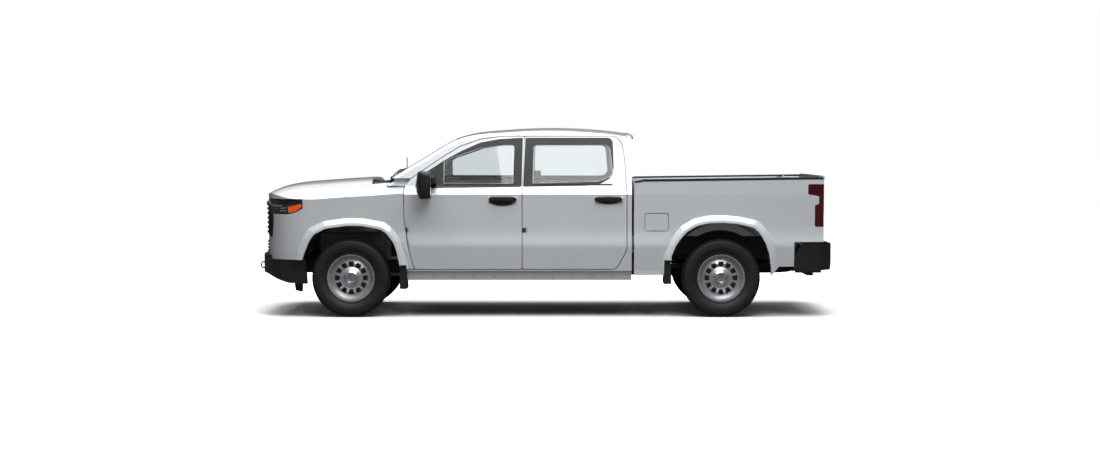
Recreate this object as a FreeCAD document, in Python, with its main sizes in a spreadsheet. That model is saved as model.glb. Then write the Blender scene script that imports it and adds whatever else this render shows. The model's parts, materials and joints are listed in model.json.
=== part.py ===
"""A full-size crew-cab pickup truck with a short load bed.

+X runs to the tail, +Y to the right-hand side and +Z up. The origin lies on the ground under
the middle of the truck. Everything is in millimetres.
"""
import FreeCAD, Part
import Sketcher
import math
import os
import re
from FreeCAD import Placement, Rotation, Vector

doc = FreeCAD.newDocument("PickupTruck")

# Driving dimensions

SIZES = {
    # Overall
    "overall_length": 5885, "front_overhang": 975, "wheelbase": 3745, "track": 1745,
    "half_width": 1003, "flare_half_width": 1031.5, "roof_z": 1918,
    # Clearances and overruns
    "shut_gap": 8, "frame_shut_gap": 14, "seat_gap": 0.3, "pin_gap": 0.05, "overrun": 400,
         "cut_overrun": 20,
    "layer_gap": 16,
    # Side of the body
    "side_depth": 60, "rocker_bottom_z": 372, "rocker_top_z": 470, "rocker_inset": 55, "rocker_foot": 95,
    "door_bottom_z": 488, "shoulder_z": 1240, "belt_z": 1326, "belt_inset": 48, "shoulder_inset": 4,
    "floor_bottom_z": 556, "floor_thick": 40, "rocker_width": 130,
    # Cab stations
    "axle_to_door": 542, "front_door_length": 1190, "rear_door_length": 1055, "quarter_length": 52,
    "door_wall": 95, "frame_wall": 38, "ring_wall": 45, "ring_frame_wall": 40, "tumble_run": 155,
    "tumble_rise": 490, "back_wall": 60, "roof_wall": 45, "firewall": 50, "aperture_inset": 50,
    "door_top_z": 1826, "roof_inner_half": 668, "cowl_length": 205, "screen_base_z": 1385,
    "crown_drop": 62, "crown_corner": 45,
    # Side windows
    "window_sill": 24, "window_frame": 68, "glass_thick": 5, "glass_inset": 14, "pillar_width": 95,
    "mirror_patch": 400,
    # Hinges
    "hinge_back": 40, "hinge_inset": 14, "hinge_pin_radius": 4, "hinge_pin_length": 96,
         "hinge_strap_height": 40,
    "hinge_strap_half": 6, "hinge_low_z": 880, "hinge_high_z": 1170, "hinge_y": 981, "move_gap": 5.5,
    "sill_z": 622, "notch_x": 6.5, "notch_y": 838, "notch_size": 28,
    "notch_drop": 8, "relief_top_z": 880, "door_relief_in": 2, "wing_relief_in": 1,
    # Nose
    "fender_tail": 175, "lamp_top_z": 1186, "lamp_bottom_z": 1044, "lamp_tip": 441,
    "hood_side_half": 800, "hood_hinge_to_door": 275, "hood_hinge_z": 1250, "hood_arm_y": 705,
         "hood_arm_wide": 34,
    "hood_arm_half": 17, "hood_pin_radius": 7, "cowl_drop": 46, "cowl_half": 655,
    "nose_inset": 50, "side_wall": 40, "hood_wall": 32, "nose_crown": 178, "nose_half": 1001,
    "hood_front_z": 1192, "hood_rear_to_door": 380, "hood_edge_half": 800, "hood_lip_length": 560,
    "lamp_height": 150, "lamp_length": 300, "lamp_inner_half": 610,
    "fascia_bottom_z": 582, "grille_bottom_z": 800, "grille_half": 770, "bar_height": 34,
         "grille_depth": 60,
    "bumper_bottom_z": 335, "bumper_proud": 30, "bumper_depth": 170,
    # Load bed
    "bed_inner_half": 838, "bed_skin_top_z": 1075, "gate_gap": 6, "gate_x_share": 0.62, "gate_hinge_z": 833,
    "gate_pin_radius": 9, "gate_pin_length": 34, "bed_floor_end": 92, "bed_side_foot_z": 425,
         "bed_tail_foot_z": 512,
    "fuel_x": 105, "fuel_length": 245, "fuel_low_z": 868, "fuel_height": 188, "fuel_gap": 8.5,
         "fuel_thick": 10,
    "fuel_floor": 33, "fuel_hinge_in": 6, "fuel_pin_radius": 2.5, "fuel_pin_length": 16, "fuel_corner": 26,
    "wheelhouse_radius": 440, "wheelhouse_open": 705,
    "bed_gap": 24, "tail_set_in": 102, "rail_front_z": 1388, "rail_rear_z": 1412, "bed_wall": 165,
    "bed_floor_z": 815, "bed_floor_thick": 35, "bed_front_wall": 60, "wheelhouse_half": 640,
    "wheelhouse_top_z": 1060, "wheelhouse_length": 980, "rail_cap": 10, "post_width": 240,
    "gate_wall": 62, "gate_half": 770, "gate_bottom_z": 800,
    # Rear bumper and lamps
    "rear_bumper_top_z": 762, "rear_bumper_bottom_z": 480, "rear_bumper_length": 430,
         "rear_bumper_wall": 160,
    "tail_lamp_top_z": 1345, "tail_lamp_bottom_z": 915, "tail_lamp_length": 190, "tail_lamp_depth": 30,
    # Running gear
    "receiver_outer": 63.5, "receiver_bore": 50.8, "receiver_reach": 75,
    "kingpin_y": 800, "kingpin_radius": 12, "kingpin_rise": 150, "arm_thick": 26, "arm_wide": 70,
         "spindle_radius": 29,
    "rail_inner_half": 400, "rail_width": 75, "rail_low_z": 420, "rail_height": 135.7, "rail_kick": 140,
    "rail_margin": 190, "cross_wide": 90, "axle_tube_radius": 45, "spring_thick": 18, "spring_length": 1300,
    "shaft_radius": 38, "shaft_drop": 60, "shaft_gap": 3, "foot_inset": 10, "tank_corner": 40,
         "case_height": 120,
    "pipe_radius": 30, "bend_share": 1.06, "liner_radius": 516, "liner_thick": 5, "liner_z": 440,
    "engine_length": 700, "engine_width": 600, "engine_height": 620, "engine_low_z": 500,
    "gearbox_length": 1050, "gearbox_width": 280,
    "tank_length": 1150, "tank_width": 300, "tank_height": 180, "tank_low_z": 360, "tank_x": -320,
    "radiator_depth": 110, "radiator_half": 560, "radiator_low_z": 585, "radiator_height": 480,
         "radiator_set_in": 240,
    "spare_radius": 350, "spare_width": 215, "spare_x": 2272, "spare_bend": 45,
    # Inside
    "seat_width": 540, "seat_y": 390, "seat_cushion_z": 900, "seat_length": 520, "seat_back_z": 1470,
    "front_seat_x": -700, "rear_seat_x": 105, "seat_lean": 75, "bench_half": 700, "seat_back_thick": 130,
    "dash_length": 380, "dash_low_z": 930, "dash_top_z": 1290, "dash_half": 790,
    "steering_x": -905, "steering_y": -390, "steering_z": 1150, "steering_radius": 188, "steering_rim": 15,
    "column_radius": 18, "column_slope": 25, "column_length": 190, "column_gap": 32,
    # Outside fittings
    "mirror_x": -1222, "mirror_low_z": 1195, "mirror_width": 195, "mirror_height": 283, "mirror_depth": 150,
    "mirror_stand": 40, "mirror_foot_z": 1345, "handle_length": 285, "handle_height": 80,
         "handle_depth": 30,
    "antenna_x": -1530, "antenna_y": 905, "antenna_radius": 4, "antenna_top_z": 1894,
    "flap_width": 190, "flap_top_z": 528, "flap_low_z": 285,
    "spoiler_reach": 28,
    # Wheels
    "arch_share": 1.27, "flare_reach": 82,
    "wheel_radius": 395, "tyre_width": 265, "rim_radius": 240, "rim_width": 210, "hub_radius": 42,
    "hub_bore": 30, "disc_offset": 40, "rim_wall": 9, "rim_well": 12, "rim_bead": 30,
    "disc_dish": 22, "disc_web": 12, "disc_joint": 4, "hub_back": 26, "hub_lip": 6,
    "cap_radius": 65, "cap_thick": 16, "cap_start": 18, "cap_recess": 8,
    "rim_windows": 12, "rim_window_low": 116, "rim_window_height": 50, "rim_window_share": 0.175,
    "tyre_shoulder": 16, "sidewall_bend": 45, "shoulder_bend": 18,
}

sheet = doc.addObject("Spreadsheet::Sheet", "Sizes")
for row, (alias, value) in enumerate(SIZES.items(), 1):
    sheet.set(f"A{row}", alias)
    sheet.set(f"B{row}", str(value))
    sheet.setAlias(f"B{row}", alias)
doc.recompute()


class Sizes:
    """Reads a size from the sheet by its alias."""

    def __getattr__(self, alias):
        return float(sheet.get(alias))


s = Sizes()
front_axle_x = s.front_overhang - s.overall_length / 2
rear_axle_x = front_axle_x + s.wheelbase
door_front_x = front_axle_x + s.axle_to_door
door_split_x = door_front_x + s.front_door_length
door_rear_x = door_split_x + s.rear_door_length
cab_rear_x = door_rear_x + s.quarter_length
bed_front_x = cab_rear_x + s.bed_gap
tail_x = s.overall_length / 2 - s.tail_set_in
nose_x = s.nose_inset - s.overall_length / 2
fender_end_x = door_front_x + s.fender_tail
X, Y, Z = Vector(1, 0, 0), Vector(0, 1, 0), Vector(0, 0, 1)


# Helpers for outlines and solids

def rounded(points, radii=0):
    """A closed wire through the points, with each corner rounded by its radius."""
    count = len(points)
    radii = [radii] * count if not isinstance(radii, (list, tuple)) else radii
    starts, ends, arcs = [], [], []
    for i, corner in enumerate(points):
        before, after = points[i - 1], points[(i + 1) % count]
        u = (before - corner).normalize()
        v = (after - corner).normalize()
        angle = u.getAngle(v)
        if radii[i] == 0 or math.pi - angle < 1e-4:
            starts.append(corner)
            ends.append(corner)
            arcs.append(None)
            continue
        reach = radii[i] / math.tan(angle / 2)
        limit = 0.49 * min((before - corner).Length, (after - corner).Length)
        radius = radii[i] * min(1, limit / reach)
        reach = min(reach, limit)
        start, end = corner + u * reach, corner + v * reach
        middle = corner + (u + v).normalize() * (radius / math.sin(angle / 2) - radius)
        starts.append(start)
        ends.append(end)
        arcs.append(Part.Arc(start, middle, end).toShape())
    edges = []
    for i in range(count):
        if arcs[i]:
            edges.append(arcs[i])
        after = starts[(i + 1) % count]
        if (after - ends[i]).Length > 1e-6:
            edges.append(Part.makeLine(ends[i], after))
    return Part.Wire(edges)


def in_xz(points, y=0):
    return [Vector(x, y, z) for x, z in points]


def in_xy(points, z=0):
    return [Vector(x, y, z) for x, y in points]


def in_yz(points, x=0):
    return [Vector(x, y, z) for y, z in points]


def prism_y(points, low, high, radii=0):
    """A solid with an outline of (x, z) points, from y = low to y = high."""
    return Part.Face(rounded(in_xz(points, low), radii)).extrude(Y * (high - low))


def prism_z(points, low, high, radii=0):
    return Part.Face(rounded(in_xy(points, low), radii)).extrude(Z * (high - low))


def prism_x(points, low, high, radii=0):
    return Part.Face(rounded(in_yz(points, low), radii)).extrude(X * (high - low))


def box(low, high):
    return Part.makeBox(high[0] - low[0], high[1] - low[1], high[2] - low[2], Vector(*low))


def mirrored(shape):
    return shape.mirror(Vector(0, 0, 0), Y)


def both(shape):
    """The shape and its mirror image on the other side of the truck."""
    return Part.makeCompound([shape, mirrored(shape)])


def smooth(points):
    curve = Part.BSplineCurve()
    curve.interpolate(points)
    return curve.toShape()


def one(solids):
    """Fuses the solids into one shape."""
    first, *rest = solids
    return first.multiFuse(rest).removeSplitter()


def whole(half):
    """The half shape joined with its mirror image."""
    return half.fuse(mirrored(half)).removeSplitter()


PARTS = []


def node(label, shape, at=(0, 0, 0), keep=None, turn=None):
    """A sub-part whose shape is worked out from the sizes; at is its own origin on the truck."""
    solids = sorted(shape.Solids, key=lambda solid: -solid.Volume)[:keep]
    shape = solids[0] if len(solids) == 1 else Part.makeCompound(solids)
    feature = doc.addObject("Part::Feature", label)
    feature.Label = label
    feature.Shape = shape
    feature.Placement = Placement(Vector(*at), turn or Rotation())
    PARTS.append(feature)
    return feature


def registered(feature, label, at, turn=None):
    """Names and places an object of the document as one of the sub-parts."""
    feature.Label = label
    feature.Placement = Placement(Vector(*at), turn or Rotation())
    PARTS.append(feature)
    return feature


def placed(label, shape, at, keep=None):
    """A sub-part drawn in its place on the truck, given an origin of its own there."""
    back = FreeCAD.Matrix()
    back.move(Vector(*at) * -1)
    return node(label, shape.transformed(back, copy=True), at, keep)


# Side of the body: inset from the widest line and height, as shares of side_depth and of the
# height from the rocker's top to the shoulder

SIDE_SHARES = [(0.50, 0.0), (0.36, 0.09), (0.08, 0.265), (0.0, 0.31), (0.17, 0.44), (0.24, 0.68),
               (0.15, 0.88), (0.07, 1.0)]


def side_points(offset=0, narrow=1.0):
    """(y, z) of the body side below the shoulder."""
    rise = s.shoulder_z - s.rocker_top_z
    return [((s.half_width - s.side_depth * inset) * narrow - offset, s.rocker_top_z + rise * up)
            for inset, up in SIDE_SHARES]


def tumble_y(z, offset=0):
    """Half width of the cab's side above the belt line."""
    return s.half_width - s.belt_inset - (z - s.belt_z) * s.tumble_run / s.tumble_rise - offset


def cab_lower(offset, floor_z, wall):
    """Half of the cab's section below the belt, with its side moved in by offset."""
    right = [Vector(0, y, z) for y, z in side_points(offset)]
    belt = Vector(0, tumble_y(s.belt_z, min(offset, wall)), s.belt_z + 1)
    if offset == 0:
        foot_y = s.half_width - s.rocker_inset
        foot = [Vector(0, foot_y, s.rocker_top_z - s.cut_overrun / 4),
                Vector(0, foot_y - s.cut_overrun, s.rocker_bottom_z),
                Vector(0, foot_y - s.rocker_width, s.rocker_bottom_z),
                Vector(0, foot_y - s.rocker_width, floor_z)]
    else:
        foot = [Vector(0, right[0].y, floor_z)]
        right[0] = Vector(0, right[0].y, max(right[0].z, floor_z + 1))
    chain = [right[0], *foot, Vector(0, 0, floor_z), Vector(0, 0, belt.z), belt]
    edges = [smooth(right), Part.makeLine(right[-1], belt)]
    edges += [Part.makeLine(a, b) for a, b in zip(chain, chain[1:]) if (a - b).Length > 1e-6]
    return Part.Wire(Part.__sortEdges__(edges))


# Roof line: share of the way from the screen's base to the cab's back, and of the height from the
# screen's base to the roof

ROOF_SHARES = [(-0.06, -0.19), (0.0, 0.0), (0.10, 0.29), (0.20, 0.575), (0.275, 0.775), (0.34, 0.88), (0.45,
                                                                                                       0.95),
               (0.64, 1.0), (0.84, 0.975), (0.94, 0.93), (1.03, 0.85)]
CROWN_SHARES = [0.0, 0.0, 0.22, 0.62, 1.0]
CROWN_ALONG = [0.5, 0.5, 0.6, 0.85, 1.0, 1.0]


def crowned(line, crowns, drop_shares, half, offset=0):
    """A deep solid under a crowned surface: a long line of (x, z), and the drop at its sides."""
    curve = Part.BSplineCurve()
    curve.interpolate([Vector(x, 0, z - offset) for x, z in line])
    poles, count = [], len(curve.getPoles())
    shares = list(reversed(drop_shares)) + drop_shares[1:]
    steps = len(drop_shares) - 1
    for i, pole in enumerate(curve.getPoles()):
        crown = crowns[min(len(crowns) - 1, round(i * (len(crowns) - 1) / (count - 1)))]
        poles.append([Vector(pole.x, half * (j - steps) / steps, pole.z - crown * share)
                      for j, share in enumerate(shares)])
    spans = len(shares) - 3
    surface = Part.BSplineSurface()
    surface.buildFromPolesMultsKnots(poles, curve.getMultiplicities(), [4] + [1] * (spans - 1) + [4],
                                     curve.getKnots(), list(range(spans + 1)), False, False, curve.Degree,
                                     3)
    return surface.toShape().extrude(Z * -2 * half)


def cab_upper(offset, roof_offset, behind=0):
    """Half of the cab above the belt: a crowned roof line over a leaning side."""
    base_x = door_front_x - s.cowl_length
    line = [(base_x + along * (cab_rear_x - base_x), s.screen_base_z + up * (s.roof_z - s.screen_base_z))
            for along, up in ROOF_SHARES]
    crowns = [s.crown_drop * share for share in CROWN_ALONG]
    under_roof = crowned(line, crowns, CROWN_SHARES, s.half_width, roof_offset)
    foot, head = tumble_y(s.belt_z, offset), tumble_y(s.roof_z + s.cut_overrun, offset)
    side = prism_x([(0, s.belt_z), (foot, s.belt_z), (head, s.roof_z + s.cut_overrun), (0,
                                                                                        s.roof_z + s.cut_overrun)],
                   base_x, cab_rear_x - behind)
    upper = under_roof.common(side)
    rail = max(upper.Edges,
               key=lambda edge: edge.BoundBox.ZMax * edge.BoundBox.XLength * (edge.BoundBox.YMin > 1))
    return upper.makeFillet(s.crown_corner - offset * 0.3, [rail])


def cab_volume(offset, frame_offset, roof_offset, floor_z, ahead=0, behind=0):
    """Half of the cab's block, with its walls moved in: below the belt, above it, and at both ends."""
    lower = Part.Face(cab_lower(offset, floor_z, frame_offset))
    lower.translate(X * (door_front_x + ahead))
    lower = lower.extrude(X * (cab_rear_x - behind - door_front_x - ahead))
    return lower.fuse(cab_upper(frame_offset, roof_offset, behind))


# Door outlines as (x, z)

front_door_top = [(0.055, 0.05), (0.314, 0.518), (0.476, 0.778), (0.64, 0.929), (0.82, 1.0)]


def front_door_outline(grow=0):
    """(x, z) round the front door: up its leading edge, along the roof, down the split."""
    length, rise = s.front_door_length, s.door_top_z - s.belt_z
    x0, x1 = door_front_x, door_split_x - s.shut_gap / 2
    top_x1 = door_split_x + length * 0.02 - s.frame_shut_gap / 2
    door_rise = s.belt_z - s.door_bottom_z
    points = [(x0 + 0.088 * length, s.door_bottom_z), (x0 + 0.04 * length,
                                                       s.door_bottom_z + 0.22 * door_rise),
              (x0, s.door_bottom_z + 0.62 * door_rise), (x0, s.belt_z - 0.02 * door_rise)]
    points += [(x0 + share * length, s.belt_z + up * rise + 0.1 * rise * (1 - up)) for share,
               up in front_door_top]
    points += [(top_x1, s.door_top_z), (x1, s.belt_z), (x1, s.door_bottom_z)]
    return grown(points, grow)


def rear_door_outline(grow=0):
    length = s.rear_door_length
    x0 = door_split_x + s.shut_gap / 2
    top_x0 = door_split_x + s.front_door_length * 0.02 + s.frame_shut_gap / 2
    rise = s.door_top_z - s.belt_z
    door_rise = s.belt_z - s.door_bottom_z
    points = [(x0, s.door_bottom_z), (x0, s.belt_z), (top_x0, s.door_top_z),
              (door_rear_x - 0.095 * length, s.door_top_z), (door_rear_x - 0.04 * length,
                                                             s.belt_z + 0.84 * rise),
              (door_rear_x - 0.02 * length, s.belt_z + 0.55 * rise), (door_rear_x,
                                                                      s.belt_z - 0.1 * door_rise),
              (door_rear_x, s.door_bottom_z + 0.23 * door_rise), (door_rear_x - 0.10 * length,
                                                                  s.door_bottom_z)]
    return grown(points, grow)


def grown(points, by):
    """The outline moved out by a distance along each corner's bisector."""
    if by == 0:
        return points
    area = sum(a[0] * b[1] - b[0] * a[1] for a, b in zip(points, points[1:] + points[:1]))
    turn = 1 if area > 0 else -1
    moved = []
    for i, (x, z) in enumerate(points):
        before, after = points[i - 1], points[(i + 1) % len(points)]
        n1 = normal_of(before, (x, z), turn)
        n2 = normal_of((x, z), after, turn)
        scale = by / max(0.2, 1 + n1[0] * n2[0] + n1[1] * n2[1])
        moved.append((x + (n1[0] + n2[0]) * scale, z + (n1[1] + n2[1]) * scale))
    return moved


def normal_of(a, b, turn):
    run, rise = b[0] - a[0], b[1] - a[1]
    length = math.hypot(run, rise)
    return turn * rise / length, -turn * run / length


DOOR_RADII = {"front": [30, 300, 500, 90, 60, 300, 300, 300, 0, 12, 200, 25],
              "rear": [25, 200, 12, 90, 120, 400, 300, 160, 90]}
DOOR_OUTLINES = {"front": front_door_outline, "rear": rear_door_outline}

# Cab shell, doors and glass

floor_top_z = s.floor_bottom_z + s.floor_thick
ring_offset = s.door_wall + s.layer_gap
ring_frame_offset = s.frame_wall + s.layer_gap
inner_offset = ring_offset + s.ring_wall
inner_frame_offset = ring_frame_offset + s.ring_frame_wall
wide = s.half_width + s.overrun

outer_cab = cab_volume(0, 0, 0, s.floor_bottom_z)
door_back = cab_volume(s.door_wall, s.frame_wall, s.roof_wall, s.rocker_bottom_z)
ring_front = cab_volume(ring_offset, ring_frame_offset, s.roof_wall, s.rocker_bottom_z)
cabin = cab_volume(inner_offset, inner_frame_offset, s.roof_wall, floor_top_z,
                   ahead=s.firewall, behind=s.back_wall)


def side_window(door, grow=0):
    """(x, z) of the see-through pane of a door."""
    low = s.belt_z + s.window_sill
    if door == "front":
        top = [(x, z - s.window_frame * 1.3) for x, z in front_door_outline()[5:9]]
        first = door_front_x + s.mirror_patch
        points = [(first, low)] + [(max(x, first + 1), z) for x, z in top[1:]]
        points.insert(1, (first, top[0][1] + 0.55 * (top[1][1] - top[0][1])))
        rear = door_split_x - s.pillar_width
        points += [(rear + 0.01 * s.front_door_length, points[-1][1]), (rear, low)]
    else:
        first = door_split_x + s.pillar_width + s.frame_shut_gap
        last = door_rear_x - 0.13 * s.rear_door_length
        top = s.door_top_z - s.window_frame * 1.3
        points = [(first, low), (first + 0.01 * s.rear_door_length, top), (last - 0.03 * s.rear_door_length,
                                                                           top),
                  (last, low + 0.22 * (top - low)), (last - 0.13 * s.rear_door_length,
                                                     low + 0.06 * (top - low))]
    return grown(points, grow)


WINDOW_RADII = {"front": [12, 10, 200, 200, 200, 25, 12], "rear": [12, 25, 60, 60, 200]}


def screen_outline(grow=0):
    """(y, z) of the windscreen seen from the front."""
    low, high = s.screen_base_z - 0.02 * s.roof_z, s.roof_z - 0.058 * s.roof_z
    foot, head = tumble_y(low) - 0.145 * s.half_width, tumble_y(high) - 0.13 * s.half_width
    return grown([(-foot, low), (foot, low), (head, high), (-head, high)], grow)


def back_window_outline(grow=0):
    low, high = s.belt_z + 0.05 * s.roof_z, s.roof_z - 0.075 * s.roof_z
    foot, head = 0.70 * s.half_width, 0.62 * s.half_width
    return grown([(-foot, low), (foot, low), (head, high), (-head, high)], grow)


def hinge_straps(axis_x):
    """Two straps from a pillar out to a door's upright hinge pins, with the pins."""
    solids = []
    for z in (s.hinge_low_z, s.hinge_high_z):
        half = s.hinge_strap_height / 2
        solids.append(box((axis_x - s.hinge_strap_half, s.half_width - inner_offset, z - half),
                          (axis_x + s.hinge_strap_half, s.hinge_y, z + half)))
        solids.append(Part.makeCylinder(s.hinge_strap_half, half * 2, Vector(axis_x, s.hinge_y, z - half)))
        solids.append(Part.makeCylinder(s.hinge_pin_radius, s.hinge_pin_length,
                                        Vector(axis_x, s.hinge_y, z - s.hinge_pin_length / 2)))
    return one(solids)


def hinge_notches(axis_x):
    """What a door gives up for its straps and pins."""
    reach = s.hinge_strap_half + s.move_gap
    solids = []
    for z in (s.hinge_low_z, s.hinge_high_z):
        half = s.hinge_strap_height / 2 + s.move_gap
        solids.append(box((axis_x - s.overrun, s.half_width - s.overrun, z - half),
                          (axis_x + reach, s.hinge_y, z + half)))
        solids.append(box((axis_x - s.overrun, s.half_width - s.overrun, z - half),
                          (axis_x, s.hinge_y + reach, z + half)))
        solids.append(Part.makeCylinder(reach, half * 2, Vector(axis_x, s.hinge_y, z - half)))
        solids.append(Part.makeCylinder(s.hinge_pin_radius + s.pin_gap, s.hinge_pin_length + 2,
                                        Vector(axis_x, s.hinge_y, z - s.hinge_pin_length / 2 - 1)))
    return one(solids)


HINGE_X = {"front": door_front_x + s.hinge_back, "rear": door_split_x + s.shut_gap / 2 + s.hinge_back}


hood_hinge_x = door_front_x - s.hood_hinge_to_door


def hood_bracket():
    """A bracket on the bulkhead with the hood's hinge pin."""
    outer_y = s.hood_arm_y + s.hood_arm_wide + s.move_gap
    arm = box((hood_hinge_x - s.hood_arm_half, outer_y, s.hood_hinge_z - s.hood_arm_half),
              (door_front_x + 1, outer_y + s.hood_arm_wide, s.hood_hinge_z + s.hood_arm_half))
    pin = Part.makeCylinder(s.hood_pin_radius, outer_y - s.hood_arm_y + s.move_gap,
                            Vector(hood_hinge_x, s.hood_arm_y - s.move_gap, s.hood_hinge_z), Y)
    return one([arm, pin])


def shell_opening(door):
    """(x, z) of what the cab's skin leaves for a door; the front one runs on under the wing's tail."""
    points = DOOR_OUTLINES[door](s.shut_gap)
    if door == "rear":
        return points, DOOR_RADII[door]
    low, high = points[0][1], s.screen_base_z + s.cut_overrun
    (x0, z0), (x1, z1) = points[4], points[5]
    meet = x0 + (x1 - x0) * (high - z0) / (z1 - z0)
    ahead = door_front_x - s.cowl_length - 1
    return [(ahead, low), (ahead, high), (meet, high), *points[5:]], [0, 0, 0, *DOOR_RADII[door][5:]]


def cab_shell():
    half = outer_cab.cut(cabin)
    below_sill = box((door_front_x - s.overrun, 0, 0), (cab_rear_x + s.overrun, wide, s.sill_z))
    for door in ("front", "rear"):
        outline, radii = shell_opening(door)
        opening = prism_y(outline, s.roof_inner_half, wide, radii)
        aperture = prism_y(DOOR_OUTLINES[door](-s.aperture_inset), s.roof_inner_half, wide,
                           DOOR_RADII[door])
        half = half.cut(opening.cut(ring_front)).cut(aperture.cut(below_sill))
    screen = prism_x(screen_outline(), door_front_x - s.overrun, 0, 90)
    rear = prism_x(back_window_outline(), cab_rear_x - s.back_wall * 4, cab_rear_x + s.overrun, 60)
    half = half.cut(screen).cut(rear)
    half = max(half.Solids, key=lambda solid: solid.Volume)
    return half.multiFuse([hinge_straps(HINGE_X["front"]), hinge_straps(HINGE_X["rear"]), hood_bracket()])


def swing_relief(grow, foot_y, way):
    """What the foot of a front door's leading edge, or of the wing before it, gives up to the swing.

    The cut slopes from foot_y out to the skin: back over the door where way is -1, forward over
    the wing where it is 1.
    """
    span, radii = 2 * s.side_depth, DOOR_RADII["front"]
    foot = rounded(in_xz(front_door_outline(grow), foot_y), radii)
    head = rounded(in_xz(front_door_outline(grow + way * span), foot_y + span), radii)
    frustum = Part.makeLoft([foot, head], True, True)
    zone = box((door_front_x - s.overrun, foot_y, 0),
               (door_front_x + s.hinge_back * 3, foot_y + span, s.relief_top_z))
    return frustum.common(zone) if way > 0 else zone.cut(frustum)


def door_slab(door):
    slab = outer_cab.cut(door_back)
    slab = slab.common(prism_y(DOOR_OUTLINES[door](), s.roof_inner_half + s.shut_gap, wide,
                               DOOR_RADII[door]))
    slab = slab.cut([prism_y(side_window(door), s.roof_inner_half, wide, WINDOW_RADII[door]),
                     hinge_notches(HINGE_X[door])])
    if door == "front":
        slab = slab.cut(swing_relief(0, s.hinge_y + s.door_relief_in, -1))
    return slab


glass_front = cab_volume(s.glass_inset, s.glass_inset, s.glass_inset, floor_top_z)
glass_back = cab_volume(s.glass_inset + s.glass_thick, s.glass_inset + s.glass_thick,
                        s.glass_inset + s.glass_thick,
                        floor_top_z)
pane = glass_front.cut(glass_back)


def side_glass(door):
    return pane.common(prism_y(side_window(door, -s.seat_gap), s.roof_inner_half, wide, WINDOW_RADII[door]))


# The cab's parts

half_shell = cab_shell()
shell = half_shell.fuse(mirrored(half_shell))
doors = {door: door_slab(door) for door in ("front", "rear")}
glasses = {door: side_glass(door) for door in ("front", "rear")}


# Nose: half its outline from above as shares of its length and half width; its centre line as
# shares of its length and drop from the cowl; and how it falls away to the sides

PLAN_SHARES = [(0.0, 0.0), (0.003, 0.20), (0.018, 0.45), (0.05, 0.66), (0.105, 0.825), (0.19, 0.935), (0.31,
                                                                                                       0.985),
               (0.52, 0.998), (1.0, 1.0)]
CENTRE_SHARES = [(-0.03, 1.75), (0.0, 1.0), (0.037, 0.735), (0.073, 0.60), (0.11, 0.49), (0.18, 0.355),
                 (0.255, 0.265),
                 (0.40, 0.178), (0.55, 0.09), (0.75, 0.0), (0.87, -0.07), (1.15, -0.12)]
FALL_SHARES = [0.0, 0.0, 0.01, 0.025, 0.05, 0.08, 0.12, 0.19, 0.34, 0.66, 1.0, 1.34]
FALL_ALONG = [0.75, 0.85, 0.95, 1.0, 1.0, 1.0]

nose_length = door_front_x - s.shut_gap - nose_x


def nose_plan(inset=0):
    """A tall solid with the nose's outline from above."""
    points = [Vector(nose_x + along * nose_length, out * s.nose_half, s.bumper_bottom_z - s.overrun)
              for along, out in PLAN_SHARES]
    curve = Part.BSplineCurve()
    curve.interpolate(points, InitialTangent=Y, FinalTangent=X)
    rim = curve.toShape()
    if inset:
        rim = shifted_curve(curve, inset)
    first, last = rim.Vertexes[0].Point, rim.Vertexes[-1].Point
    chain = [last, Vector(fender_end_x, last.y, last.z), Vector(fender_end_x, 0, last.z), first]
    wire = Part.Wire(Part.__sortEdges__([rim] + [Part.makeLine(a, b) for a, b in zip(chain, chain[1:])]))
    return Part.Face(wire).extrude(Z * 2 * s.roof_z)


def shifted_curve(curve, inset):
    """A plan curve moved inward by a distance."""
    points = []
    for i in range(19):
        at = curve.FirstParameter + (curve.LastParameter - curve.FirstParameter) * i / 18
        along = curve.tangent(at)[0]
        point = curve.value(at)
        points.append(Vector(point.x + along.y * inset, max(0, point.y - along.x * inset), point.z))
    moved = Part.BSplineCurve()
    moved.interpolate(points)
    return moved.toShape()


def nose_top(offset=0):
    line = [(nose_x + along * nose_length,
             s.screen_base_z + s.cut_overrun - drop * (s.screen_base_z - s.hood_front_z))
            for along, drop in CENTRE_SHARES]
    falls = [s.nose_crown * share for share in FALL_ALONG]
    return crowned(line, falls, FALL_SHARES, s.nose_half * 1.1, offset)


def side_block(offset, x0, x1, top_z):
    """Half of a body block between two stations, under the side's section."""
    points = side_points(offset)
    right = [Vector(x0, y, z) for y, z in points]
    head = Vector(x0, right[-1].y, top_z)
    foot = Vector(x0, right[0].y, s.bumper_bottom_z - s.overrun)
    chain = [right[0], foot, Vector(x0, 0, foot.z), Vector(x0, 0, head.z), head, right[-1]]
    edges = [smooth(right)] + [Part.makeLine(a, b) for a, b in zip(chain, chain[1:])]
    return Part.Face(Part.Wire(Part.__sortEdges__(edges))).extrude(X * (x1 - x0))


def nose_block(inset, top_offset):
    block = nose_plan(inset).common(nose_top(top_offset))
    return block.common(side_block(inset, nose_x - s.overrun, fender_end_x, s.roof_z))


nose_outer = nose_block(0, 0)
nose_inner = nose_block(s.side_wall, s.hood_wall)
nose_shell = nose_outer.cut(nose_inner)


# Front wheel opening and the flare round it, as (x, z) from the front axle in shares of the arch radius

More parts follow.
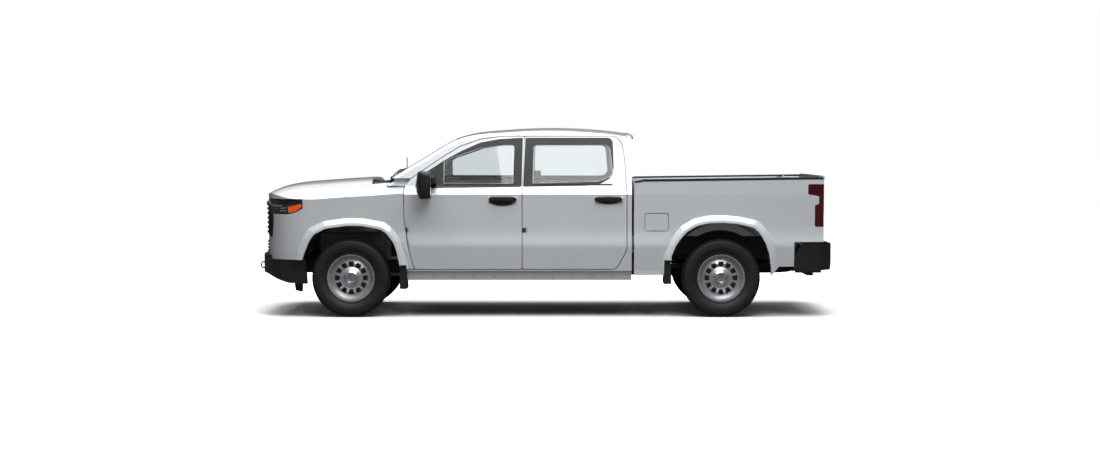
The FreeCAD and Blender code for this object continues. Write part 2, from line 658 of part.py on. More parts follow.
FRONT_ARCH = [(-1.0, -0.5), (-0.985, 0.30), (-0.93, 0.50), (-0.825, 0.75), (-0.735, 0.885), (-0.50, 1.0),
              (-0.07, 1.06),
              (0.23, 1.055), (0.61, 0.985), (0.73, 0.90), (0.87, 0.71), (0.93, 0.53), (0.99, 0.26), (1.02,
                                                                                                     0.10),
              (1.03, -0.5)]
REAR_ARCH = [(-1.04, -0.5), (-1.025, 0.30), (-1.01, 0.44), (-0.93, 0.64), (-0.835, 0.78), (-0.71, 0.93),
             (-0.515, 1.05),
             (-0.26, 1.11), (0.045, 1.12), (0.34, 1.09), (0.65, 1.02), (0.785, 0.88), (0.885, 0.70), (0.955,
                                                                                                      0.50),
             (1.0, 0.18), (1.01, -0.5)]


def arch_points(shares, axle_x, grow=0):
    reach = s.wheel_radius * s.arch_share
    points = [(axle_x + x * reach, s.wheel_radius + z * reach) for x, z in shares]
    return grown(points, grow)


def arch_cut(shares, axle_x, grow=0):
    radii = [0] + [s.overrun / 4] * (len(shares) - 2) + [0]
    return prism_y(arch_points(shares, axle_x, grow), s.roof_inner_half, wide, radii)


def flare(shares, axle_x):
    """A swelling of the body side round a wheel opening."""
    radii = [0] + [s.overrun / 4] * (len(shares) - 2) + [0]
    sections = [(s.flare_reach, s.half_width - s.side_wall / 2), (s.flare_reach * 0.8, s.half_width),
                (s.flare_reach * 0.35, s.flare_half_width - 4), (s.flare_reach * 0.12, s.flare_half_width)]
    solids = []
    for (reach0, y0), (reach1, y1) in zip(sections, sections[1:]):
        wires = [rounded(in_xz(arch_points(shares, axle_x, reach), y), radii) for reach, y in ((reach0, y0),
                                                                                               (reach1,
                                                                                                y1))]
        solids.append(Part.makeLoft(wires, True, True))
    return one(solids).cut(arch_cut(shares, axle_x))


# Hood, front wings, fascia, grille and lamps, all cut from one shell

ahead_x = nose_x - s.overrun
lamp_rear_x = nose_x + s.lamp_tip


def hood_zone(grow=0):
    rear = door_front_x - s.hood_rear_to_door
    plan = prism_z([(ahead_x, 0), (ahead_x, s.hood_side_half * 0.955 + grow), (lamp_rear_x,
                                                                               s.hood_side_half * 0.98 + grow),
                    (rear, s.hood_side_half + grow), (rear + s.hood_side_half * 0.05 + grow,
                                                      s.hood_side_half + grow),
                    (rear + grow, 0)], s.belt_z - s.overrun, s.roof_z)
    floor = s.lamp_top_z + s.shut_gap - grow
    side = prism_y([(ahead_x, floor), (lamp_rear_x + s.lamp_height, floor), (rear + s.overrun,
                                                                             s.belt_z - s.overrun / 3),
                    (rear + s.overrun, s.roof_z), (ahead_x, s.roof_z)], 0, wide)
    return plan.common(side)


def lamp_zone(grow=0):
    tip, low, high = lamp_rear_x, s.lamp_bottom_z, s.lamp_top_z
    return prism_y(grown([(ahead_x, low), (tip - 0.5 * s.lamp_height * 2, low - 0.03 * s.lamp_height),
                          (tip - 0.47 * s.lamp_height, low + 0.1 * s.lamp_height), (tip,
                                                                                    low + 0.37 * s.lamp_height),
                          (tip, high), (ahead_x, high)], grow), s.lamp_inner_half - grow, wide)


def grille_zone(grow=0):
    low, high, mid = s.grille_bottom_z, s.lamp_top_z, s.lamp_bottom_z
    return prism_x(grown([(-s.lamp_inner_half, low), (s.grille_half * 0.96, low), (s.grille_half,
                                                                                   (low + mid) / 2),
                          (s.grille_half, mid), (s.lamp_inner_half, mid), (s.lamp_inner_half, high),
                          (-s.lamp_inner_half, high)], grow), ahead_x, lamp_rear_x)


def fascia_zone(grow=0):
    """Ahead of the seam that runs from the lamp's tip down to the wheel opening."""
    arch = arch_points(FRONT_ARCH, front_axle_x)[5]
    return prism_y(grown([(ahead_x, s.fascia_bottom_z), (arch[0], s.fascia_bottom_z), (arch[0], arch[1]),
                          (lamp_rear_x, s.lamp_bottom_z + 0.37 * s.lamp_height), (lamp_rear_x,
                                                                                  s.lamp_top_z + s.shut_gap),
                          (ahead_x, s.lamp_top_z + s.shut_gap)], grow), 0, wide)


front_opening = arch_cut(FRONT_ARCH, front_axle_x)
front_flare = flare(FRONT_ARCH, front_axle_x)
hood_plain = nose_shell.common(hood_zone())
hood_plain = max(hood_plain.Solids, key=lambda solid: solid.Volume)
lamp_half = nose_shell.common(lamp_zone())
grille_half_shape = nose_shell.common(grille_zone()).cut(lamp_zone(s.seat_gap))
fascia_half = nose_shell.common(fascia_zone()).cut([lamp_zone(s.seat_gap), grille_zone(s.seat_gap),
                                                    front_opening,
                                                   hood_zone(s.shut_gap)])
wing_floor = box((ahead_x, 0, 0), (fender_end_x + 1, wide, s.rocker_top_z + s.cut_overrun))
door_gap = prism_y(front_door_outline(s.shut_gap), s.roof_inner_half, wide, DOOR_RADII["front"])
under_glass = box((door_front_x - s.shut_gap, 0, s.belt_z - s.cut_overrun), (fender_end_x + 1, wide,
                                                                             s.roof_z))
cowl_space = prism_z([(door_front_x - s.hood_rear_to_door, 0), (door_front_x - s.hood_rear_to_door,
                                                                s.hood_side_half),
                      (fender_end_x + 1, s.hood_side_half), (fender_end_x + 1, 0)], 0, s.roof_z)
wing_half = nose_shell.cut([hood_zone(s.shut_gap), lamp_zone(s.seat_gap), fascia_zone(s.seat_gap),
                            front_opening,
                            wing_floor, cowl_space])
wing_half = max(wing_half.Solids, key=lambda solid: solid.BoundBox.XMax)
notch_x = door_front_x - s.cowl_length + s.notch_x
pillar_notch = box((notch_x, s.notch_y, s.belt_z - s.notch_drop),
                   (notch_x + s.notch_size, s.notch_y + s.notch_size, s.roof_z))
wing_half = wing_half.cut([door_gap, under_glass, pillar_notch]).cut(half_shell)


# Load bed: one section of the body's side, a rail on top, a corner post at the tail

def rail_line(grow=0):
    rise = (s.rail_rear_z - s.rail_front_z) / (tail_x - bed_front_x)
    return s.rail_front_z + grow, s.rail_rear_z + grow, rise


def bed_side_outline():
    """(x, z) of the bed's side, from its front foot round the rail to the tail."""
    front_top, rear_top, rise = rail_line()
    arch = arch_points(REAR_ARCH, rear_axle_x)
    bumper_x = tail_x - s.rear_bumper_length + s.tail_set_in
    return [(bed_front_x, s.bed_side_foot_z), (bed_front_x, front_top), (bed_front_x + s.overrun,
                                                                         front_top + rise * s.overrun),
            (tail_x - s.gate_wall, rear_top), (tail_x - s.gate_wall / 2, rear_top),
            (tail_x - s.gate_wall / 2, s.rear_bumper_top_z),
            (bumper_x, s.rear_bumper_top_z), (bumper_x, s.bed_tail_foot_z),
            (arch[-2][0] + s.flare_reach, s.bed_tail_foot_z), (arch[-2][0], s.bed_side_foot_z),
            (arch[0][0] - s.flare_reach, s.bed_side_foot_z)]


bed_block = side_block(0, bed_front_x, tail_x, s.rail_rear_z + s.rail_cap)
bed_core = side_block(s.side_wall, bed_front_x - 1, tail_x + 1, s.rail_rear_z + s.overrun)
rear_opening = arch_cut(REAR_ARCH, rear_axle_x)
post_x = tail_x - s.post_width
bed_reach = box((bed_front_x - 1, 0, 0), (post_x, s.bed_inner_half, s.roof_z))
post_reach = box((bed_front_x - 1, 0, 0), (tail_x + 1, s.gate_half + s.gate_gap, s.roof_z))
bed_hollow = bed_core.common(box((bed_front_x - 1, 0, 0), (post_x, wide, s.bed_skin_top_z)))
bed_half = bed_block.common(prism_y(bed_side_outline(), 0, wide, [0, 30, 0, 40, 0, 0, 0, 0, 0, 0, 0]))
bed_half = bed_half.cut([bed_reach, post_reach, bed_hollow])
rear_flare = flare(REAR_ARCH, rear_axle_x).common(prism_y(bed_side_outline(), 0, wide))
bed_half = one([bed_half.cut(rear_opening), rear_flare])

# Tail lamps wrap the posts' outer corners

lamp_x = tail_x - s.tail_lamp_length


def tail_lamp_outline(grow=0):
    low, high = s.tail_lamp_bottom_z, s.tail_lamp_top_z
    rise = high - low
    step = lamp_x + 0.36 * s.tail_lamp_length
    return grown([(step, low), (step, low + 0.51 * rise), (lamp_x + 0.58 * s.tail_lamp_length,
                                                           low + 0.53 * rise),
                  (lamp_x + 0.58 * s.tail_lamp_length, low + 0.72 * rise), (lamp_x, low + 0.76 * rise),
                  (lamp_x, high),
                  (tail_x + 1, high), (tail_x + 1, low)], grow)


lamp_band = bed_block.cut(side_block(s.tail_lamp_depth, bed_front_x,
                                     tail_x - s.gate_wall / 2 - s.tail_lamp_depth, s.roof_z))
lamp_band = lamp_band.cut(box((bed_front_x, 0, 0), (tail_x, s.gate_half + 2 * s.gate_gap, s.roof_z)))
lamp_band = lamp_band.cut(box((tail_x - s.gate_wall / 2, 0, 0), (tail_x + 1, wide, s.roof_z)))
tail_lamp_half = lamp_band.common(prism_y(tail_lamp_outline(), 0, wide, 14))
bed_half = bed_half.cut(lamp_band.common(prism_y(tail_lamp_outline(s.seat_gap), 0, wide, 14)))

# Tailgate on two pins at its foot

gate_hinge_x = tail_x - s.gate_wall * s.gate_x_share


def gate_pin(radius, length):
    """A pin at the foot of the gate, from inside the post towards the middle."""
    start = s.gate_half + s.gate_gap + s.gate_pin_length
    return Part.makeCylinder(radius, length, Vector(gate_hinge_x, start, s.gate_hinge_z), Y * -1)


def tailgate():
    front, rear, top = tail_x - s.gate_wall, tail_x, s.rail_rear_z
    side = prism_y([(front, s.gate_bottom_z), (front, top), (front + s.gate_wall * 0.2, top + s.rail_cap),
                    (rear + 5, top + s.rail_cap), (rear + 5, top - 32), (rear - 16, top - 52),
                    (rear - 10, s.gate_bottom_z + 0.45 * (top - s.gate_bottom_z)), (rear - 2,
                                                                                    s.gate_bottom_z + 42),
                    (rear - 12, s.gate_bottom_z)], -s.gate_half, s.gate_half, [4, 8, 10, 8, 12, 30, 60, 12,
                                                                               8])
    bore = gate_pin(s.gate_pin_radius + s.pin_gap, 2 * s.gate_pin_length + 1)
    return side.cut([bore, mirrored(bore)])


bed_half = one([bed_half, gate_pin(s.gate_pin_radius, 2 * s.gate_pin_length)])

# Bed tub: floor, front wall and wheel boxes

def bed_tub():
    side_y = s.bed_inner_half
    end = tail_x - s.bed_floor_end
    floor = box((bed_front_x, 0, s.bed_floor_z), (end, side_y, s.bed_floor_z + s.bed_floor_thick))
    wall = box((bed_front_x, 0, s.bed_floor_z), (bed_front_x + s.bed_front_wall, side_y,
                                                 s.rail_front_z - s.rail_cap))
    house = box((rear_axle_x - s.wheelhouse_length / 2, s.wheelhouse_half, s.bed_floor_z),
                (rear_axle_x + s.wheelhouse_length / 2, side_y, s.wheelhouse_top_z))
    hollow = Part.makeCylinder(s.wheelhouse_radius + s.cut_overrun, wide, Vector(rear_axle_x,
                                                                                 s.wheelhouse_open,
                                                                                 s.wheel_radius + s.cut_overrun), Y)
    post = box((post_x - s.seat_gap, s.gate_half + s.gate_gap - s.seat_gap, 0), (tail_x, wide, s.roof_z))
    sills = [box((bed_front_x + share * (end - bed_front_x), 0,
                  s.rail_low_z + s.rail_kick + s.rail_height + s.seat_gap),
                 (bed_front_x + share * (end - bed_front_x) + s.cross_wide, s.wheelhouse_half,
                  s.bed_floor_z + 1)) for share in (0.12, 0.45, 0.86)]
    return whole(one([floor, wall, house, *sills]).cut([hollow, post]))


# The fuel lid in its pocket, on the left side only

fuel_front_x = bed_front_x + s.fuel_x
fuel_hinge_x = fuel_front_x + s.fuel_gap + s.fuel_hinge_in
fuel_hinge_y = s.half_width - s.side_depth * 0.22 - s.fuel_thick / 2


def fuel_outline(grow=0):
    low, high = s.fuel_low_z, s.fuel_low_z + s.fuel_height
    rear = fuel_front_x + s.fuel_length
    return grown([(fuel_front_x, low), (fuel_front_x, high), (rear, high), (rear, low)], grow)


def fuel_pins(radius, extra):
    solids = []
    for z, way in ((s.fuel_low_z, 1), (s.fuel_low_z + s.fuel_height, -1)):
        length = s.fuel_gap + s.fuel_pin_length + extra + s.fuel_gap
        solids.append(Part.makeCylinder(radius, length, Vector(fuel_hinge_x, fuel_hinge_y,
                                                               z - way * s.fuel_gap), Z * way))
    return Part.makeCompound(solids)


fuel_pocket = prism_y(fuel_outline(), s.half_width - s.fuel_floor, wide, s.fuel_corner)
fuel_lid = bed_block.cut(side_block(s.fuel_thick, bed_front_x - 1, tail_x, s.roof_z))
fuel_lid = fuel_lid.common(prism_y(fuel_outline(-s.fuel_gap), s.bed_inner_half, wide,
                                   s.fuel_corner - s.fuel_gap))


# Bumpers

def front_bumper():
    proud = nose_plan(-(s.nose_inset)).cut(nose_plan(s.bumper_depth - s.nose_inset))
    proud = proud.common(side_block(s.rocker_inset / 4, nose_x - s.overrun, fender_end_x, s.roof_z))
    top, low, rear = s.fascia_bottom_z - s.seat_gap, s.bumper_bottom_z, front_axle_x - s.wheel_radius * 1.13
    mid = 0.5 * (top + low)
    side = prism_y([(ahead_x, mid - 0.1 * (top - low)), (nose_x + 0.035 * nose_length,
                                                         mid - 0.1 * (top - low)),
                    (nose_x + 0.13 * nose_length, low + 0.18 * (top - low)), (nose_x + 0.2 * nose_length,
                                                                              low + 10),
                    (rear, low), (rear - 18, top), (ahead_x, top)], 0, wide, [0, 40, 60, 60, 0, 0, 0])
    brow = box((ahead_x, 0, top - 1), (lamp_rear_x, s.grille_half * 0.92, top + 0.7 * s.nose_inset))
    brow = brow.common(nose_plan(-s.nose_inset)).cut(nose_plan(-s.seat_gap))
    return whole(one([proud.common(side), brow]))


def rear_bumper_side(grow=0):
    """The rear bumper's outline from the side, right across the truck."""
    front, top, low = tail_x - s.rear_bumper_length + s.tail_set_in, s.rear_bumper_top_z, s.rear_bumper_bottom_z
    return prism_y(grown([(front, low + 0.03 * (top - low)), (front, low + 0.42 * (top - low)), (front + 40,
                                                                                                 top - 85),
                          (front + 120, top - 12), (front + 175, top), (tail_x - 10, top),
                          (s.overall_length / 2, top - 30),
                          (s.overall_length / 2, low + 70), (s.overall_length / 2 - 45, low), (front + 50,
                                                                                               low - 22)],
                         grow),
                   0, wide, [4, 20, 30, 60, 60, 20, 25, 40, 30, 10])


def rear_bumper():
    nose_curve = [(tail_x - s.rear_bumper_length + s.tail_set_in, s.half_width - 14), (tail_x - 60,
                                                                                       s.half_width - 20),
                  (tail_x + 40, s.half_width - 75), (tail_x + 88, s.half_width * 0.66),
                  (s.overall_length / 2, 0)]
    inner = [(tail_x - s.rear_bumper_wall * 0.42, 0), (tail_x - s.rear_bumper_wall * 0.42, s.gate_half),
             (tail_x - s.rear_bumper_length + s.tail_set_in, s.half_width - 14 - s.side_wall)]
    plan = prism_z(nose_curve + inner, s.rocker_bottom_z, s.roof_z, [0, 60, 60, 200, 0, 0, 60, 0])
    return whole(plan.common(rear_bumper_side()))


# Cowl below the windscreen, between the hood's arms

cowl_shell = nose_block(s.side_wall, s.cowl_drop).cut(nose_block(s.side_wall * 1.5,
                                                                 s.cowl_drop + s.hood_wall))
cowl_front_x = door_front_x - s.hood_rear_to_door + s.shut_gap
cowl_half_shape = cowl_shell.common(box((cowl_front_x, 0, s.belt_z - s.overrun / 2),
                                        (door_front_x - s.seat_gap, s.cowl_half, s.roof_z)))
cowl_wall = box((door_front_x - s.side_wall, 0, s.belt_z - s.overrun / 2), (door_front_x - s.seat_gap,
                                                                            s.cowl_half, s.belt_z))


def hood():
    """The panel with its two arms down to the hinge."""
    y0, y1 = s.hood_arm_y, s.hood_arm_y + s.hood_arm_wide
    reach = s.hood_arm_half
    foot_x, head_z = hood_hinge_x - s.hood_wall * 4, s.screen_base_z - s.cut_overrun
    link = prism_y([(hood_hinge_x + reach * 0.7, s.hood_hinge_z + reach * 0.7),
                    (hood_hinge_x - reach * 0.7, s.hood_hinge_z - reach * 0.7),
                    (foot_x - s.hood_wall * 2, s.hood_hinge_z + reach), (foot_x - s.hood_wall * 5, head_z),
                    (foot_x, head_z)], y0, y1)
    knuckle = Part.makeCylinder(reach, s.hood_arm_wide, Vector(hood_hinge_x, y0, s.hood_hinge_z), Y)
    arm = one([link, knuckle]).common(nose_outer)
    bore = Part.makeCylinder(s.hood_pin_radius + s.pin_gap, s.overrun, Vector(hood_hinge_x,
                                                                              y0 - s.overrun / 2,
                                                                              s.hood_hinge_z), Y)
    return whole(one([hood_plain, arm]).cut(bore))


# Wheels: tyre, steel wheel, and the knuckles that steer the front pair

def cells(expression):
    """The expression with each size's alias led by the sheet's name."""
    return re.sub(r"\b[a-z]\w+\b", lambda found: f"Sizes.{found[0]}", expression)


def origin_item(body, role):
    return next(item for item in body.Origin.OriginFeatures if item.Role == role)


def sketched(body, name, role, corners):
    """A closed outline on one of the body's own planes, each corner a pair of expressions."""
    sketch = body.newObject("Sketcher::SketchObject", name)
    sketch.AttachmentSupport = [(origin_item(body, role), "")]
    sketch.MapMode = "FlatFace"
    spots = [Vector(*(float(sheet.evalExpression(cells(part))) for part in corner)) for corner in corners]
    for i, spot in enumerate(spots):
        sketch.addGeometry(Part.LineSegment(spot, spots[(i + 1) % len(spots)]))
    for i in range(len(spots)):
        sketch.addConstraint(Sketcher.Constraint("Coincident", i, 2, (i + 1) % len(spots), 1))
    for i, (corner, spot) in enumerate(zip(corners, spots)):
        for kind, part, value in (("DistanceX", corner[0], spot.x), ("DistanceY", corner[1], spot.y)):
            at = sketch.addConstraint(Sketcher.Constraint(kind, -1, 1, i, 1, value))
            sketch.setExpression(f"Constraints[{at}]", cells(part))
    return sketch


def turned(body, name, corners):
    """A ring about the body's Y axis, from corners of (distance along it, radius)."""
    ring = body.newObject("PartDesign::Revolution", name)
    ring.Profile = sketched(body, f"{name}_outline", "YZ_Plane", corners)
    ring.ReferenceAxis = (origin_item(body, "Y_Axis"), [""])
    ring.Angle = 360
    doc.recompute()
    return ring


def softened(body, name, base, radius, wanted):
    """Rounds those edges of a feature that the test picks."""
    fillet = body.newObject("PartDesign::Fillet", name)
    fillet.Base = (base, [f"Edge{i}" for i, edge in enumerate(base.Shape.Edges, 1) if wanted(edge)])
    fillet.setExpression("Radius", cells(radius))
    doc.recompute()
    return fillet


def whole_circle(edge):
    return isinstance(edge.Curve, Part.Circle) and edge.Closed


def tyre(label, at):
    """A plain carcass; the seat inside it matches the rim's barrel."""
    body = doc.addObject("PartDesign::Body", label)
    widest = "rim_radius + 0.45 * (wheel_radius - rim_radius)"
    half = [("0.36 * tyre_width", "rim_radius"), ("0.5 * tyre_width", widest),
            ("0.44 * tyre_width", "wheel_radius - tyre_shoulder"), ("0.37 * tyre_width", "wheel_radius")]
    ring = turned(body, f"{label}_carcass", [(f"-{along}", radius) for along, radius in half] + half[::-1])
    side_y, crown = s.tyre_width / 2 - s.seat_gap, s.wheel_radius - s.tyre_shoulder - s.seat_gap
    bends = softened(body, f"{label}_sidewalls", ring, "sidewall_bend",
                     lambda edge: whole_circle(edge) and abs(edge.Curve.Center.y) > side_y)
    softened(body, f"{label}_shoulders", bends, "shoulder_bend",
             lambda edge: whole_circle(edge) and edge.Curve.Radius > crown)
    return registered(body, label, at)


def rim(label, at, side):
    """Barrel, dished disc with windows, and a cap over the hub."""
    body = doc.addObject("PartDesign::Body", label)
    outer = "(rim_radius - seat_gap)"
    barrel = [("-0.5 * rim_width", outer), ("0.5 * rim_width", outer), ("0.5 * rim_width",
                                                                        f"{outer} - rim_wall"),
              ("0.5 * rim_width - rim_bead", f"{outer} - rim_wall - rim_well"),
              ("rim_well - 0.5 * rim_width", f"{outer} - rim_wall - rim_well"),
              ("-0.5 * rim_width", f"{outer} - rim_wall")]
    disc = [("disc_offset - disc_dish", f"{outer} - rim_wall - disc_joint"),
            ("disc_offset - disc_dish + disc_web", f"{outer} - rim_wall - disc_joint"),
            ("disc_offset + disc_dish", f"{outer} * 0.62"), ("disc_offset + disc_dish - disc_web",
                                                             f"{outer} * 0.45"),
            ("disc_offset + disc_dish", f"{outer} * 0.36"), ("disc_offset + disc_dish", "hub_bore"),
            ("disc_offset - hub_back", "hub_bore"), ("disc_offset - hub_back", "hub_radius + hub_lip"),
            ("disc_offset - disc_joint", f"{outer} * 0.40"), ("disc_offset + hub_lip", f"{outer} * 0.60")]
    cap = [("disc_offset + cap_start", "hub_bore"), ("disc_offset + cap_start", "cap_radius"),
           ("disc_offset + cap_start + cap_thick", "cap_radius"), ("disc_offset + cap_start + cap_thick",
                                                                   "0"),
           ("disc_offset + cap_start + cap_recess", "0"), ("disc_offset + cap_start + cap_recess",
                                                           "hub_bore")]
    for name, corners in (("barrel", barrel), ("disc", disc), ("cap", cap)):
        turned(body, f"{label}_{name}", [(f"{side} * ({along})", radius) for along, radius in corners])
    high = "(rim_window_low + rim_window_height)"
    pocket = body.newObject("PartDesign::Pocket", f"{label}_window")
    pocket.Profile = sketched(body, f"{label}_window_outline", "XZ_Plane",
                              [("-rim_window_low * rim_window_share", "rim_window_low"),
                               ("rim_window_low * rim_window_share", "rim_window_low"),
                               (f"{high} * rim_window_share", high), (f"-{high} * rim_window_share", high)])
    pocket.Type = "ThroughAll"
    pocket.Midplane = True
    doc.recompute()
    uncut = body.Shape.Volume
    pattern = body.newObject("PartDesign::PolarPattern", f"{label}_windows")
    pattern.Originals = [pocket]
    pattern.Axis = (origin_item(body, "Y_Axis"), [""])
    pattern.Angle = 360
    pattern.setExpression("Occurrences", cells("rim_windows"))
    body.Tip = pattern
    doc.recompute()
    if pattern.Shape.Volume >= uncut:
        raise RuntimeError(f"{label} has no windows")
    low_ring, high_ring = 0.95 * s.rim_window_low, s.rim_window_low + s.rim_window_height + s.rim_wall
    softened(body, f"{label}_window_bends", pattern, "rim_wall",
             lambda edge: isinstance(edge.Curve, Part.Line) and abs(edge.Curve.Direction.y) > 0.99
             and low_ring < math.hypot(edge.CenterOfMass.x, edge.CenterOfMass.z) < high_ring)
    return registered(body, label, at)


def spare(label, at):
    """The spare wheel, lying flat with its face down."""
    body = doc.addObject("PartDesign::Body", label)
    ring = turned(body, f"{label}_outline_ring",
                  [("-0.5 * spare_width", "0.9 * rim_radius"), ("-0.5 * spare_width", "spare_radius"),
                   ("0.5 * spare_width", "spare_radius"), ("0.5 * spare_width", "0"), ("0.1 * spare_width",
                                                                                       "0"),
                   ("0.1 * spare_width", "0.9 * rim_radius")])
    softened(body, f"{label}_shoulders", ring, "spare_bend",
             lambda edge: whole_circle(edge) and edge.Curve.Radius > s.spare_radius - s.seat_gap)
    return registered(body, label, at, Rotation(X, 90))


def primitive(kind, name, base, **fields):
    """A primitive of the document whose sizes and corner follow expressions on the sheet."""
    item = doc.addObject(f"Part::{kind}", name)
    for field, expression in fields.items():
        item.setExpression(field, cells(expression))
    for axis, expression in zip("xyz", base):
        item.setExpression(f".Placement.Base.{axis}", cells(expression))
    return item


def joined(label, *items):
    fuse = doc.addObject("Part::MultiFuse", label)
    fuse.Shapes = list(items)
    doc.recompute()
    fuse.Label = label
    PARTS.append(fuse)
    return fuse


def knuckle_shape(side):
    """Upright with its spindle, bored for the ball joints above and below."""
    lean = side * (s.track / 2 - s.kingpin_y)
    rise = s.kingpin_rise - s.arm_thick / 2 - s.move_gap
    post = box((-s.arm_wide / 2, -24, -rise), (s.arm_wide / 2, 24, rise))
    spindle = Part.makeCylinder(s.spindle_radius, s.track / 2 - s.kingpin_y + s.disc_offset + 20, Vector(0,
                                                                                                         0,
                                                                                                         0),
                                Y * side)
    bore = Part.makeCylinder(s.kingpin_radius + s.pin_gap, 2 * rise + 2, Vector(0, 0, -rise - 1))
    return one([post, spindle]).cut([Part.makeCylinder(s.kingpin_radius + s.pin_gap, rise * 0.45, Vector(0,
                                                                                                         0,
                                                                                                         -rise - 1)),
                                     Part.makeCylinder(s.kingpin_radius + s.pin_gap, rise * 0.45, Vector(0,
                                                                                                         0,
                                                                                                         rise + 1 - rise * 0.45))])


def suspension_half():
    """Upper and lower arms with their pins, out from the frame's rail."""
    solids = []
    rail_y = s.rail_inner_half + s.rail_width
    for way in (-1, 1):
        z = s.wheel_radius + way * s.kingpin_rise
        arm = prism_z([(front_axle_x - s.arm_wide * 1.6, rail_y + s.seat_gap),
                       (front_axle_x + s.arm_wide * 1.6, rail_y + s.seat_gap),
                       (front_axle_x + s.arm_wide / 2, s.kingpin_y + s.arm_wide / 2),
                       (front_axle_x - s.arm_wide / 2, s.kingpin_y + s.arm_wide / 2)],
                      z - s.arm_thick / 2, z + s.arm_thick / 2, [0, 0, 30, 30])
        pin = Part.makeCylinder(s.kingpin_radius, s.arm_thick / 2 + s.kingpin_rise * 0.35,
                                Vector(front_axle_x, s.kingpin_y, z), Z * -way)
        solids += [arm, pin]
    tower = box((front_axle_x - s.arm_wide, rail_y + s.seat_gap,
                 s.wheel_radius - s.kingpin_rise - s.arm_thick / 2),
                (front_axle_x + s.arm_wide, rail_y + s.arm_wide / 3,
                 s.wheel_radius + s.kingpin_rise + s.arm_thick / 2))
    return one(solids + [tower])


# Chassis

def frame_half():
    low, high, kick = s.rail_low_z, s.rail_low_z + s.rail_height, s.rail_kick
    front, rear = nose_x + s.rail_margin, tail_x - s.rear_bumper_wall * 0.42 - s.seat_gap
    start, stop = rear_axle_x - 2.2 * s.wheel_radius, rear_axle_x - 1.72 * s.wheel_radius
    rail = prism_y([(front, low), (start, low), (stop, low + kick), (rear, low + kick), (rear, high + kick),
                    (stop, high + kick),
                    (start, high), (front, high)], s.rail_inner_half, s.rail_inner_half + s.rail_width, [0,
                                                                                                         60,
                                                                                                         60,
                                                                                                         0,
                                                                                                         0,
                                                                                                         60,
                                                                                                         60,
                                                                                                         0])
    solids = [rail]
    for share, lift in ((0.015, 0), (0.30, 0), (0.52, 0), (0.68, 0), (0.93, kick), (0.985, kick)):
        x = front + share * (rear - front)
        solids.append(box((x - s.cross_wide / 2, 0, high - 0.55 * s.rail_height + lift),
                          (x + s.cross_wide / 2, s.rail_inner_half + 1, high - 5 + lift)))
    return one(solids)


def rear_axle_shape():
    half = s.track / 2 - s.rim_width * 0.55
    tube = Part.makeCylinder(s.axle_tube_radius, half * 2, Vector(0, -half, 0), Y)
    spindle = Part.makeCylinder(s.spindle_radius, s.track + 2 * (s.disc_offset + 20), Vector(0,
                                                                                             -s.track / 2 - s.disc_offset - 20, 0), Y)
    housing = Part.makeSphere(s.axle_tube_radius * 2.9)
    return one([tube, spindle, housing])


def leaf_half():
    """A bowed pack of leaves from the rail's hangers over the axle."""
    half, rise = s.spring_length / 2, s.rail_low_z + s.rail_kick - s.wheel_radius - s.axle_tube_radius
    y0, y1 = s.rail_inner_half + 6, s.rail_inner_half + s.rail_width - 6
    base = s.wheel_radius + s.axle_tube_radius + s.seat_gap
    points = [Vector(rear_axle_x - half, y0, base + rise * 0.75), Vector(rear_axle_x, y0, base),
              Vector(rear_axle_x + half, y0, base + rise * 0.75)]
    arc = Part.Arc(*points).toShape()
    upper = arc.copy()
    upper.translate(Z * s.spring_thick)
    ends = [Part.makeLine(arc.Vertexes[i].Point, upper.Vertexes[i].Point) for i in (0, 1)]
    leaf = Part.Face(Part.Wire(Part.__sortEdges__([arc, upper, *ends]))).extrude(Y * (y1 - y0))
    solids = [leaf]
    for way in (-1, 1):
        x = rear_axle_x + way * (half - s.spring_thick)
        low = base + rise * 0.72
        top = s.rail_low_z + s.rail_kick - s.seat_gap if way > 0 else s.rail_low_z + s.rail_kick * 0.35
        solids.append(box((x - s.spring_thick, y0, low), (x + s.spring_thick, y1,
                                                          s.rail_low_z + s.rail_kick - s.seat_gap)))
    return one(solids)


def liner_half(axle_x, inner_y):
    """A thin arch over a wheel, trimmed to the inside of the skin."""
    ring = Part.makeCylinder(s.liner_radius + s.liner_thick, wide, Vector(axle_x, inner_y, s.liner_z), Y)
    ring = ring.cut(Part.makeCylinder(s.liner_radius, wide, Vector(axle_x, inner_y - 1, s.liner_z), Y))
    return ring.common(box((axle_x - s.overrun * 2, inner_y, s.fascia_bottom_z + s.cut_overrun),
                           (axle_x + s.overrun * 2, wide, s.roof_z)))


def mud_flap(x, top_z, low_z, grow=0):
    """A hanging flap behind or ahead of a wheel; grown, it is the room that the skin leaves for it."""
    y1 = s.half_width - s.side_wall / 4 + grow * s.overrun
    return prism_y(grown([(x, top_z), (x + 62, top_z), (x + 72, low_z), (x - 8, low_z)], grow),
                   s.half_width - s.flap_width, y1,
                   [0, 0, 12, 12])


front_flap = [front_axle_x + 1.27 * s.wheel_radius, s.flap_top_z, s.flap_low_z]
rear_flap = [rear_axle_x - 1.46 * s.wheel_radius, s.flap_top_z + 50, s.flap_low_z + 50]


# Inside the cab

